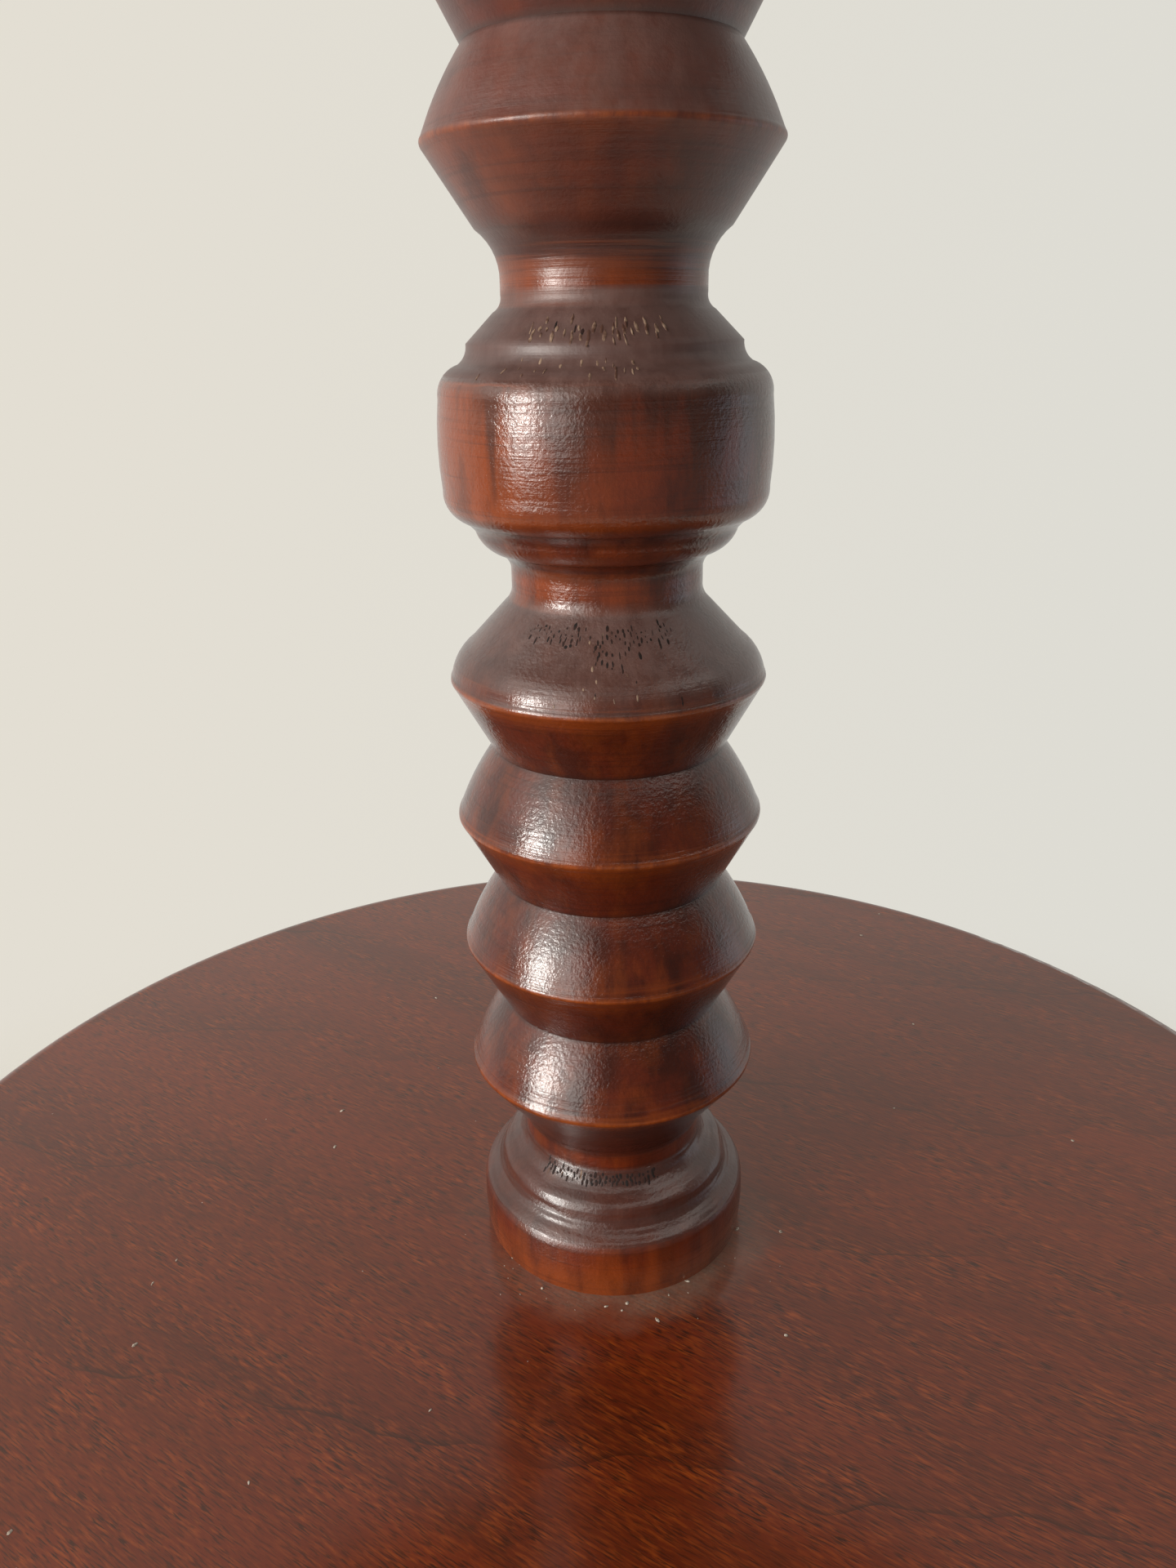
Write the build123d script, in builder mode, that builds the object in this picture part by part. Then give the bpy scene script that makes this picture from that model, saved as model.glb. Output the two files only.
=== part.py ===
"""Two-tier tilt-top table: a turned bobbin column on a tripod, a round shelf and a round top that tips up."""

import math
import os

from build123d import *

os.makedirs("parts", exist_ok=True)

# Driving dimensions, in millimetres. The origin is on the floor, under the column's axis, with +Z up.

# Round boards
TOP_RADIUS = 230.0
TOP_THICKNESS = 20.0
SHELF_RADIUS = 179.0
SHELF_THICKNESS = 18.0
BOARD_UPPER_ROUND = 5.0
BOARD_LOWER_ROUND = 3.0

# Turned work: every stroke of a profile rises by a length and ends at a radius
RIDGE_RADIUS = 30.4
RIDGE_LAND = 1.6
RIDGE_CROWN = 0.3
GROOVE_RADIUS = 22.8
CONE_RISE = 13.2
CONE_SWELL = 0.5
NECK_RADIUS = 18.0
NECK_RISE = 3.3
END_NECK_RADIUS = 19.4
END_NECK_RISE = 4.4
END_CONE_FOOT_RADIUS = 21.6
END_CONE_COVE_RISE = 3.9
END_CONE_RISE = 11.2
UPPER_BEAD_COUNT = 4
FOOT_RADIUS = 28.8
FOOT_RING_RISE = 10.4
FOOT_RING_EDGE_RADIUS = 29.3
FOOT_RING_SWELL = 0.3
FOOT_ROUND_RISE = 3.4
FOOT_ROUND_RADIUS = 27.3
FOOT_ROUND_SWELL = 0.7
FOOT_SLOPE_RISE = 2.8
FOOT_SLOPE_RADIUS = 24.9
FOOT_SLOPE_DEPTH = 0.2
FOOT_BEAD_RISE = 3.6
FOOT_BEAD_RADIUS = 22.9
FOOT_BEAD_SWELL = 0.8
FOOT_COVE_RISE = 4.4
FOOT_COVE_DEPTH = 0.7
SHOULDER_RISE = 6.0
SHOULDER_RADIUS = 26.4
SHOULDER_SWELL = 0.7
SHOULDER_SLOPE_RISE = 7.2
SHOULDER_SLOPE_RADIUS = 19.6
SHOULDER_COVE_RISE = 3.8
SHOULDER_COVE_DEPTH = 0.5
BOWL_COVE_RISE = 7.0
BOWL_COVE_RADIUS = 22.0
BOWL_COVE_DEPTH = 0.9
BOWL_CONE_RISE = 12.0
DRUM_RADIUS = 29.8
DRUM_SIDE_RISE = 15.6
DRUM_SIDE_SWELL = 0.45
DRUM_STEP_RADIUS = 24.4
DRUM_COVE_RISE = 3.3
DRUM_COVE_RADIUS = 21.4
DRUM_COVE_DEPTH = 0.7
DRUM_BEAD_RISE = 3.8
DRUM_BEAD_SWELL = 0.5
DRUM_STEP_RISE = 1.6
DRUM_SHOULDER_FOOT_RADIUS = 26.0
DRUM_SHOULDER_RISE = 5.6
DRUM_SHOULDER_SWELL = 1.2
DRUM_UPPER_COVE_RISE = 3.4
DRUM_UPPER_COVE_DEPTH = 0.5
DRUM_CAP_RISE = 5.0
DRUM_CAP_RADIUS = 19.4
DRUM_CAP_COVE_RISE = 2.8

# Lower column: leg drum, a short run of beads, and a collar that carries the shelf
COLUMN_FOOT_Z = 72.0
LEG_DRUM_RADIUS = 37.0
LEG_DRUM_RISE = 84.0
LEG_DRUM_ROUND_RISE = 6.0
LEG_DRUM_ROUND_RADIUS = 32.0
LEG_DRUM_ROUND_SWELL = 1.4
LEG_DRUM_COVE_RISE = 9.0
LEG_DRUM_COVE_DEPTH = 2.0
LOWER_BEAD_COUNT = 2
COLLAR_COVE_RISE = 11.0
COLLAR_COVE_RADIUS = 34.0
COLLAR_COVE_DEPTH = 2.4
COLLAR_STEP_RADIUS = 38.0
COLLAR_STEP_RISE = 1.5
COLLAR_RISE = 13.0
COLLAR_RADIUS = 41.0
COLLAR_SWELL = 1.6

# Joints in the wood
SHELF_TENON_RADIUS = 12.5
SHELF_TENON_IN_COLUMN = 45.0
BLOCK_TENON_RADIUS = 14.0
GLUE_LINE = 0.05
WEDGE_THICK_END = 4.0
WEDGE_THIN_END = 1.6
WEDGE_DEPTH = 24.0

# Legs
LEG_ANGLES = {"leg_rear": 90.0, "leg_left": 210.0, "leg_right": 330.0}
LEG_THICKNESS = 26.0
LEG_SEAT_RADIUS = 34.0
LEG_JOINT_RISE = 76.0
LEG_FLAT_LENGTH = 28.0
LEG_REACH = 218.0
LEG_EDGE_ROUND = 4.0
TOE_HEIGHT = 14.0
TOE_LENGTH = 34.0
TOE_ROUND = 3.0
HEEL_LENGTH = 22.5
ANKLE_INSET = 46.0
ANKLE_UNDER_Z = 26.0
ANKLE_DEPTH = 21.0
KNEE_REACH = 98.0
KNEE_TOP_Z = 112.0
KNEE_UNDER_Z = 65.0
LEG_UPPER_TANGENTS = ((1.0, -0.12), (1.0, -0.35))
LEG_LOWER_TANGENTS = ((-1.0, 0.5), (-1.0, 0.0))
DOVETAIL_NECK = 11.0
DOVETAIL_TAIL = 16.0
DOVETAIL_DEPTH = 11.0
PAD_RADIUS = 11.0
PAD_THICKNESS = 2.0

# Iron plate under the legs
SPIDER_THICKNESS = 2.0
SPIDER_HUB_RADIUS = 26.0
SPIDER_ARM_WIDTH = 15.0
SPIDER_ARM_REACH = 58.0
SPIDER_SCREW_REACH = 50.0

# Tilting block, pins and battens
BLOCK_WIDTH = 96.0
BLOCK_LENGTH = 110.0
BLOCK_THICKNESS = 34.0
BLOCK_CHAMFER = 4.0
PIVOT_SETBACK = 17.0
PIN_RADIUS = 6.0
PIN_IN_BLOCK = 26.0
PIN_IN_BATTEN = 18.0
PIN_RUNNING_CLEARANCE = 0.06
PIN_END_CLEARANCE = 0.5
TOP_GAP = 0.3
BATTEN_SIDE_GAP = 1.0
BATTEN_WIDTH = 22.0
BATTEN_DEPTH = 30.0
BATTEN_LENGTH = 330.0
BATTEN_TIP_DEPTH = 10.0
BATTEN_TAPER = 42.0
BATTEN_TAPER_HOLLOW = 5.0
BATTEN_SCREW_REACHES = (-122.0, -28.0, 112.0)

# Slide bolt that locks the top down
PLATE_WIDTH = 26.0
PLATE_LENGTH = 64.0
PLATE_THICKNESS = 1.6
PLATE_STANDOFF = 5.0
PLATE_CORNER = 3.0
PLATE_SCREW_SPACING_X = 18.0
PLATE_SCREW_SPACING_Y = 16.0
GUIDE_WIDTH = 15.0
GUIDE_LENGTH = 8.0
GUIDE_INSET = 6.0
GUIDE_WALL = 3.2
GUIDE_ROUND = 3.0
BOLT_RADIUS = 3.6
BOLT_CLEARANCE = 0.3
BOLT_DROP = 10.3
BOLT_TRAVEL = 11.0
BOLT_NOSE_GAP = 3.0
BOLT_TAIL = 5.0
BOLT_NOSE_CHAMFER = 1.0
KNOB_RADIUS = 5.0
KNOB_STEM_RADIUS = 2.0
KNOB_STEM_LENGTH = 5.0
KNOB_SOCKET_DEPTH = 2.4
KNOB_REACH = 33.0
KEEPER_WIDTH = 34.0
KEEPER_HEIGHT = 15.0
KEEPER_THICKNESS = 1.6
KEEPER_HOLE_RADIUS = 4.4
KEEPER_HOLE_END_ROOM = 5.0
KEEPER_SCREW_SPACING = 24.0

# Screws: head radius, shank radius, head height and length
WOOD_SCREW = (4.5, 2.2, 2.6, 38.0)
SMALL_SCREW = (2.7, 1.4, 1.5, 12.0)
SPIDER_SCREW = (4.0, 2.0, 2.0, 22.0)
SCREW_CLEARANCE = 0.05


def rise_of(strokes):
    """Total height of a run of turned strokes."""
    return sum(rise for rise, _, _ in strokes)


def flipped(strokes, start_radius):
    """The same run of strokes turned upside down. It ends at start_radius."""
    radii = [start_radius] + [radius for _, radius, _ in strokes]
    count = len(strokes)
    return [(strokes[i][0], radii[i], strokes[i][2]) for i in reversed(range(count))]


def turned_outline(strokes, start_radius, base_z):
    """Draws strokes of (rise, end radius, swell) upwards, inside a BuildLine on Plane.XZ."""
    radius, height = start_radius, base_z
    for rise, end_radius, swell in strokes:
        start, end = (radius, height), (end_radius, height + rise)
        if swell:
            SagittaArc(start, end, -swell)
        else:
            Line(start, end)
        radius, height = end
    return radius, height


def bead_run(count):
    """Sharp double cones, from the first ridge to the last one's upper edge."""
    ridge_edge = RIDGE_RADIUS - RIDGE_CROWN
    ridge = (RIDGE_LAND, ridge_edge, RIDGE_CROWN)
    strokes = [ridge]
    for _ in range(count - 1):
        strokes += [(CONE_RISE, GROOVE_RADIUS, CONE_SWELL), (CONE_RISE, ridge_edge, 0), ridge]
    return strokes


def screws(planes, size, mode=Mode.ADD, clearance=0.0):
    """Countersunk screws, or their holes, with each head flush with its plane and its shank along -z."""
    head_radius, shank_radius, head_height, length = size
    seat = (Align.CENTER, Align.CENTER, Align.MAX)
    with Locations(*planes):
        Cylinder(shank_radius + clearance, length + clearance, align=seat, mode=mode)
        Cone(shank_radius + clearance, head_radius + clearance, head_height, align=seat, mode=mode)


def save(builder, label):
    """Labels a finished piece and writes it under that name."""
    builder.part.label = label
    export_step(builder.part, f"parts/{label}.step")


# Strokes of the upper column, from the shelf upwards
RIDGE_EDGE = RIDGE_RADIUS - RIDGE_CROWN
foot_strokes = [
    (FOOT_RING_RISE, FOOT_RING_EDGE_RADIUS, FOOT_RING_SWELL),
    (FOOT_ROUND_RISE, FOOT_ROUND_RADIUS, FOOT_ROUND_SWELL),
    (FOOT_SLOPE_RISE, FOOT_SLOPE_RADIUS, -FOOT_SLOPE_DEPTH),
    (FOOT_BEAD_RISE, FOOT_BEAD_RADIUS, FOOT_BEAD_SWELL),
    (FOOT_COVE_RISE, END_NECK_RADIUS, -FOOT_COVE_DEPTH),
    (END_NECK_RISE, END_NECK_RADIUS, 0),
    (END_CONE_COVE_RISE, END_CONE_FOOT_RADIUS, 0),
    (END_CONE_RISE, RIDGE_EDGE, 0),
]
shoulder_strokes = [
    (SHOULDER_RISE, SHOULDER_RADIUS, SHOULDER_SWELL),
    (SHOULDER_SLOPE_RISE, SHOULDER_SLOPE_RADIUS, 0),
    (SHOULDER_COVE_RISE, NECK_RADIUS, -SHOULDER_COVE_DEPTH),
    (NECK_RISE, NECK_RADIUS, 0),
]
drum_strokes = [
    (DRUM_COVE_RISE, DRUM_COVE_RADIUS, -DRUM_COVE_DEPTH),
    (DRUM_BEAD_RISE, DRUM_STEP_RADIUS, DRUM_BEAD_SWELL),
    (DRUM_STEP_RISE, DRUM_SHOULDER_FOOT_RADIUS, 0),
    (DRUM_SHOULDER_RISE, DRUM_RADIUS, DRUM_SHOULDER_SWELL),
    (DRUM_SIDE_RISE, DRUM_RADIUS, DRUM_SIDE_SWELL),
    (DRUM_SHOULDER_RISE, DRUM_SHOULDER_FOOT_RADIUS, DRUM_SHOULDER_SWELL),
    (DRUM_UPPER_COVE_RISE, DRUM_STEP_RADIUS, -DRUM_UPPER_COVE_DEPTH),
    (DRUM_CAP_RISE, DRUM_CAP_RADIUS, 0),
    (DRUM_CAP_COVE_RISE, NECK_RADIUS, -SHOULDER_COVE_DEPTH),
    (NECK_RISE, NECK_RADIUS, 0),
]
bowl_strokes = [
    (BOWL_COVE_RISE, BOWL_COVE_RADIUS, -BOWL_COVE_DEPTH),
    (BOWL_CONE_RISE, RIDGE_EDGE, 0),
]
upper_strokes = (
    foot_strokes
    + bead_run(UPPER_BEAD_COUNT)
    + shoulder_strokes
    + drum_strokes
    + bowl_strokes
    + bead_run(UPPER_BEAD_COUNT)
    + flipped(foot_strokes, FOOT_RADIUS)
)

# Strokes of the lower column, from its foot upwards
lower_strokes = (
    [
        (LEG_DRUM_RISE, LEG_DRUM_RADIUS, 0),
        (LEG_DRUM_ROUND_RISE, LEG_DRUM_ROUND_RADIUS, LEG_DRUM_ROUND_SWELL),
        (LEG_DRUM_COVE_RISE, END_NECK_RADIUS, -LEG_DRUM_COVE_DEPTH),
        (END_CONE_COVE_RISE, END_CONE_FOOT_RADIUS, 0),
        (END_CONE_RISE, RIDGE_EDGE, 0),
    ]
    + bead_run(LOWER_BEAD_COUNT)
    + [
        (END_CONE_RISE, END_CONE_FOOT_RADIUS, 0),
        (COLLAR_COVE_RISE, COLLAR_COVE_RADIUS, -COLLAR_COVE_DEPTH),
        (COLLAR_STEP_RISE, COLLAR_STEP_RADIUS, 0),
        (COLLAR_RISE, COLLAR_RADIUS, COLLAR_SWELL),
    ]
)

# Levels that follow from the sizes above
SHELF_UNDER_Z = COLUMN_FOOT_Z + rise_of(lower_strokes)
SHELF_TOP_Z = SHELF_UNDER_Z + SHELF_THICKNESS
BLOCK_UNDER_Z = SHELF_TOP_Z + rise_of(upper_strokes)
BLOCK_TOP_Z = BLOCK_UNDER_Z + BLOCK_THICKNESS
TOP_UNDER_Z = BLOCK_TOP_Z + TOP_GAP
BLOCK_REAR_Y = BLOCK_LENGTH / 2
BLOCK_FRONT_Y = -BLOCK_LENGTH / 2
PIVOT_Y = BLOCK_REAR_Y - PIVOT_SETBACK
PIVOT_Z = BLOCK_TOP_Z - PIVOT_SETBACK
BATTEN_INNER_X = BLOCK_WIDTH / 2 + BATTEN_SIDE_GAP
BATTEN_MID_X = BATTEN_INNER_X + BATTEN_WIDTH / 2
BATTEN_UNDER_Z = TOP_UNDER_Z - BATTEN_DEPTH
PLATE_REAR_Y = BLOCK_FRONT_Y - PLATE_STANDOFF
PLATE_FRONT_Y = PLATE_REAR_Y - PLATE_LENGTH
PLATE_MID_Y = (PLATE_REAR_Y + PLATE_FRONT_Y) / 2
PLATE_UNDER_Z = TOP_UNDER_Z - PLATE_THICKNESS
BOLT_Z = TOP_UNDER_Z - BOLT_DROP
BOLT_NOSE_Y = BLOCK_FRONT_Y - BOLT_NOSE_GAP
BOLT_TAIL_Y = PLATE_FRONT_Y - BOLT_TAIL
KNOB_Y = PLATE_REAR_Y - KNOB_REACH
KEEPER_HOLE_DEPTH = BOLT_TRAVEL - BOLT_NOSE_GAP + KEEPER_HOLE_END_ROOM
GUIDE_YS = (PLATE_REAR_Y - GUIDE_INSET - GUIDE_LENGTH / 2, PLATE_FRONT_Y + GUIDE_INSET + GUIDE_LENGTH / 2)
LEG_JOINT_TOP_Z = COLUMN_FOOT_Z + LEG_JOINT_RISE
ANKLE_REACH = LEG_REACH - ANKLE_INSET

# Planes that the screw heads lie on, each facing the screwdriver
BATTEN_SCREW_PLANES = {
    side: [Plane((side * BATTEN_MID_X, y, BATTEN_UNDER_Z), z_dir=(0, 0, -1)) for y in BATTEN_SCREW_REACHES]
    for side in (-1, 1)
}
PLATE_SCREW_PLANES = [
    Plane((x, y, PLATE_UNDER_Z), z_dir=(0, 0, -1))
    for x in (-PLATE_SCREW_SPACING_X / 2, PLATE_SCREW_SPACING_X / 2)
    for y in (PLATE_MID_Y - PLATE_SCREW_SPACING_Y / 2, PLATE_MID_Y + PLATE_SCREW_SPACING_Y / 2)
]
KEEPER_SCREW_PLANES = [
    Plane((x, BLOCK_FRONT_Y, BOLT_Z), z_dir=(0, -1, 0))
    for x in (-KEEPER_SCREW_SPACING / 2, KEEPER_SCREW_SPACING / 2)
]
KEEPER_SEAT = Plane((0, BLOCK_FRONT_Y, BOLT_Z), x_dir=(1, 0, 0), z_dir=(0, -1, 0))
SPIDER_UNDER_Z = COLUMN_FOOT_Z - SPIDER_THICKNESS


def around(angle, radius, height):
    """A point at an angle in degrees and a radius about the column's axis."""
    turn = math.radians(angle)
    return (radius * math.cos(turn), radius * math.sin(turn), height)


SPIDER_SCREW_PLANES = {
    name: Plane(around(angle, SPIDER_SCREW_REACH, SPIDER_UNDER_Z), z_dir=(0, 0, -1))
    for name, angle in LEG_ANGLES.items()
}
SPIDER_SCREW_PLANES["lower_column"] = Plane((0, 0, SPIDER_UNDER_Z), z_dir=(0, 0, -1))


def dovetail(angle, clearance=0.0):
    """Plan of a leg's dovetail tongue, or of its socket, inside a BuildSketch at the column's foot."""
    root = LEG_SEAT_RADIUS
    tip = LEG_SEAT_RADIUS - DOVETAIL_DEPTH - clearance
    neck, tail = DOVETAIL_NECK / 2 + clearance, DOVETAIL_TAIL / 2 + clearance
    with Locations(Location((0, 0, 0), (0, 0, angle))):
        Polygon((root, -neck), (root, neck), (tip, tail), (tip, -tail), align=None)


# Upper column, with a tenon down through the shelf and one up through the block
with BuildPart() as upper_column:
    with BuildSketch(Plane.XZ):
        with BuildLine():
            turned_outline(upper_strokes, FOOT_RADIUS, SHELF_TOP_Z)
            Polyline(
                (FOOT_RADIUS, BLOCK_UNDER_Z),
                (0, BLOCK_UNDER_Z),
                (0, SHELF_TOP_Z),
                (FOOT_RADIUS, SHELF_TOP_Z),
            )
        make_face()
    revolve(axis=Axis.Z)
    with BuildSketch(Plane.XY.offset(SHELF_TOP_Z)):
        Circle(SHELF_TENON_RADIUS)
    extrude(amount=-(SHELF_THICKNESS + SHELF_TENON_IN_COLUMN))
    with BuildSketch(Plane.XY.offset(BLOCK_UNDER_Z)):
        Circle(BLOCK_TENON_RADIUS)
    extrude(amount=BLOCK_THICKNESS)
    with BuildSketch(Plane.XZ):
        kerf = [
            (-WEDGE_THICK_END / 2, BLOCK_TOP_Z),
            (WEDGE_THICK_END / 2, BLOCK_TOP_Z),
            (WEDGE_THIN_END / 2, BLOCK_TOP_Z - WEDGE_DEPTH),
            (-WEDGE_THIN_END / 2, BLOCK_TOP_Z - WEDGE_DEPTH),
        ]
        Polygon(*kerf, align=None)
    extrude(amount=2 * BLOCK_TENON_RADIUS, both=True, mode=Mode.SUBTRACT)
save(upper_column, "upper_column")

# Wedge that spreads the tenon in the block, trimmed round with it
with BuildPart() as tenon_wedge:
    with BuildSketch(Plane.XY.offset(BLOCK_TOP_Z)):
        Circle(BLOCK_TENON_RADIUS)
    extrude(amount=-WEDGE_DEPTH + GLUE_LINE)
    with BuildSketch(Plane.XZ):
        Polygon(
            (-WEDGE_THICK_END / 2 + GLUE_LINE, BLOCK_TOP_Z),
            (WEDGE_THICK_END / 2 - GLUE_LINE, BLOCK_TOP_Z),
            (WEDGE_THIN_END / 2 - GLUE_LINE, BLOCK_TOP_Z - WEDGE_DEPTH),
            (-WEDGE_THIN_END / 2 + GLUE_LINE, BLOCK_TOP_Z - WEDGE_DEPTH),
            align=None,
        )
    extrude(amount=2 * BLOCK_TENON_RADIUS, both=True, mode=Mode.INTERSECT)
save(tenon_wedge, "tenon_wedge")

# Lower column, with a socket for the tenon and a flat and a dovetail slot for each leg
with BuildPart() as lower_column:
    with BuildSketch(Plane.XZ):
        with BuildLine():
            turned_outline(lower_strokes, LEG_DRUM_RADIUS, COLUMN_FOOT_Z)
            Polyline(
                (COLLAR_RADIUS, SHELF_UNDER_Z),
                (0, SHELF_UNDER_Z),
                (0, COLUMN_FOOT_Z),
                (LEG_DRUM_RADIUS, COLUMN_FOOT_Z),
            )
        make_face()
    revolve(axis=Axis.Z)
    with BuildSketch(Plane.XY.offset(SHELF_UNDER_Z)):
        Circle(SHELF_TENON_RADIUS + GLUE_LINE)
    extrude(amount=-SHELF_TENON_IN_COLUMN - GLUE_LINE, mode=Mode.SUBTRACT)
    with BuildSketch(Plane.XY.offset(COLUMN_FOOT_Z)):
        for angle in LEG_ANGLES.values():
            with Locations(Location(around(angle, LEG_SEAT_RADIUS - GLUE_LINE, 0), (0, 0, angle))):
                Rectangle(
                    LEG_DRUM_RADIUS, LEG_THICKNESS + 2 * GLUE_LINE, align=(Align.MIN, Align.CENTER)
                )
            dovetail(angle, GLUE_LINE)
    extrude(amount=LEG_JOINT_RISE + GLUE_LINE, mode=Mode.SUBTRACT)
    screws([SPIDER_SCREW_PLANES["lower_column"]], SPIDER_SCREW, Mode.SUBTRACT, SCREW_CLEARANCE)
save(lower_column, "lower_column")


def round_board(radius, thickness, under_z):
    """A turned board with a rounded upper edge and an eased lower edge, inside a BuildPart."""
    with Locations((0, 0, under_z)):
        Cylinder(radius, thickness, align=(Align.CENTER, Align.CENTER, Align.MIN))
    rims = edges().filter_by(GeomType.CIRCLE).sort_by(Axis.Z)
    fillet(rims[-1], BOARD_UPPER_ROUND)
    fillet(edges().filter_by(GeomType.CIRCLE).sort_by(Axis.Z)[0], BOARD_LOWER_ROUND)


# Shelf, clamped between the two columns
with BuildPart() as shelf:
    round_board(SHELF_RADIUS, SHELF_THICKNESS, SHELF_UNDER_Z)
    with BuildSketch(Plane.XY.offset(SHELF_UNDER_Z)):
        Circle(SHELF_TENON_RADIUS + GLUE_LINE)
    extrude(amount=SHELF_THICKNESS, mode=Mode.SUBTRACT)
save(shelf, "shelf")

# Legs, each a sawn ogee with a dovetail tongue that slides up into the column
for name, angle in LEG_ANGLES.items():
    outward = Vector(*around(angle, 1, 0))
    sideways = Vector(outward.Y, -outward.X, 0)
    seat_top = (LEG_SEAT_RADIUS, LEG_JOINT_TOP_Z)
    toe_top = (LEG_REACH, PAD_THICKNESS + TOE_HEIGHT)
    toe_tip = (LEG_REACH - TOE_ROUND, PAD_THICKNESS)
    toe_back = (LEG_REACH - TOE_LENGTH, PAD_THICKNESS)
    flat_end = (LEG_SEAT_RADIUS + LEG_FLAT_LENGTH, COLUMN_FOOT_Z)
    seat_foot = (LEG_SEAT_RADIUS, COLUMN_FOOT_Z)
    with BuildPart() as leg:
        with BuildSketch(Plane(sideways * (-LEG_THICKNESS / 2), x_dir=outward, z_dir=sideways)):
            with BuildLine():
                Spline(
                    seat_top,
                    (KNEE_REACH, KNEE_TOP_Z),
                    (ANKLE_REACH, ANKLE_UNDER_Z + ANKLE_DEPTH),
                    toe_top,
                    tangents=LEG_UPPER_TANGENTS,
                )
                SagittaArc(toe_top, toe_tip, -TOE_ROUND)
                Line(toe_tip, toe_back)
                Spline(
                    toe_back,
                    (LEG_REACH - TOE_LENGTH - HEEL_LENGTH, ANKLE_UNDER_Z),
                    (KNEE_REACH + ANKLE_DEPTH / 2, KNEE_UNDER_Z),
                    flat_end,
                    tangents=LEG_LOWER_TANGENTS,
                )
                Polyline(flat_end, seat_foot, seat_top)
            make_face()
        extrude(amount=LEG_THICKNESS)
        fillet(edges().filter_by(GeomType.BSPLINE), LEG_EDGE_ROUND)
        with BuildSketch(Plane.XY.offset(COLUMN_FOOT_Z)):
            dovetail(angle)
        extrude(amount=LEG_JOINT_RISE)
        screws([SPIDER_SCREW_PLANES[name]], SPIDER_SCREW, Mode.SUBTRACT, SCREW_CLEARANCE)
    save(leg, name)
    with BuildPart() as foot_pad:
        with Locations(around(angle, LEG_REACH - TOE_LENGTH / 2, 0)):
            Cylinder(PAD_RADIUS, PAD_THICKNESS, align=(Align.CENTER, Align.CENTER, Align.MIN))
    save(foot_pad, name.replace("leg", "foot_pad"))

# Iron plate that ties the legs and the column together from below
with BuildPart() as spider_plate:
    with BuildSketch(Plane.XY.offset(SPIDER_UNDER_Z)):
        Circle(SPIDER_HUB_RADIUS)
        arm_end = SPIDER_ARM_REACH - SPIDER_ARM_WIDTH / 2
        for angle in LEG_ANGLES.values():
            with Locations(Location((0, 0, 0), (0, 0, angle))):
                Rectangle(arm_end, SPIDER_ARM_WIDTH, align=(Align.MIN, Align.CENTER))
            with Locations(around(angle, arm_end, 0)):
                Circle(SPIDER_ARM_WIDTH / 2)
    extrude(amount=SPIDER_THICKNESS)
    screws(SPIDER_SCREW_PLANES.values(), SPIDER_SCREW, Mode.SUBTRACT, SCREW_CLEARANCE)
save(spider_plate, "spider_plate")

with BuildPart() as spider_screws:
    screws(SPIDER_SCREW_PLANES.values(), SPIDER_SCREW)
save(spider_screws, "spider_screws")

# Block on top of the column, rounded about the pivot so that the top can roll over its rear edge
PIN_SEATS = {side: Plane((side * BLOCK_WIDTH / 2, PIVOT_Y, PIVOT_Z), z_dir=(side, 0, 0)) for side in (-1, 1)}
with BuildPart() as pivot_block:
    with Locations((0, 0, BLOCK_UNDER_Z)):
        Box(BLOCK_WIDTH, BLOCK_LENGTH, BLOCK_THICKNESS, align=(Align.CENTER, Align.CENTER, Align.MIN))
    chamfer(faces().sort_by(Axis.Z)[0].edges(), BLOCK_CHAMFER)
    fillet(faces().sort_by(Axis.Z)[-1].edges().sort_by(Axis.Y)[-1], PIVOT_SETBACK)
    with Locations((0, 0, BLOCK_UNDER_Z)):
        Cylinder(
            BLOCK_TENON_RADIUS + GLUE_LINE,
            BLOCK_THICKNESS,
            align=(Align.CENTER, Align.CENTER, Align.MIN),
            mode=Mode.SUBTRACT,
        )
    with Locations(*PIN_SEATS.values()):
        Cylinder(
            PIN_RADIUS + GLUE_LINE,
            PIN_IN_BLOCK + GLUE_LINE,
            align=(Align.CENTER, Align.CENTER, Align.MAX),
            mode=Mode.SUBTRACT,
        )
    with Locations(KEEPER_SEAT):
        Box(
            KEEPER_WIDTH + 2 * GLUE_LINE,
            KEEPER_HEIGHT + 2 * GLUE_LINE,
            KEEPER_THICKNESS,
            align=(Align.CENTER, Align.CENTER, Align.MAX),
            mode=Mode.SUBTRACT,
        )
        Cylinder(
            KEEPER_HOLE_RADIUS,
            KEEPER_HOLE_DEPTH,
            align=(Align.CENTER, Align.CENTER, Align.MAX),
            mode=Mode.SUBTRACT,
        )
    screws(KEEPER_SCREW_PLANES, SMALL_SCREW, Mode.SUBTRACT, SCREW_CLEARANCE)
save(pivot_block, "pivot_block")

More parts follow.
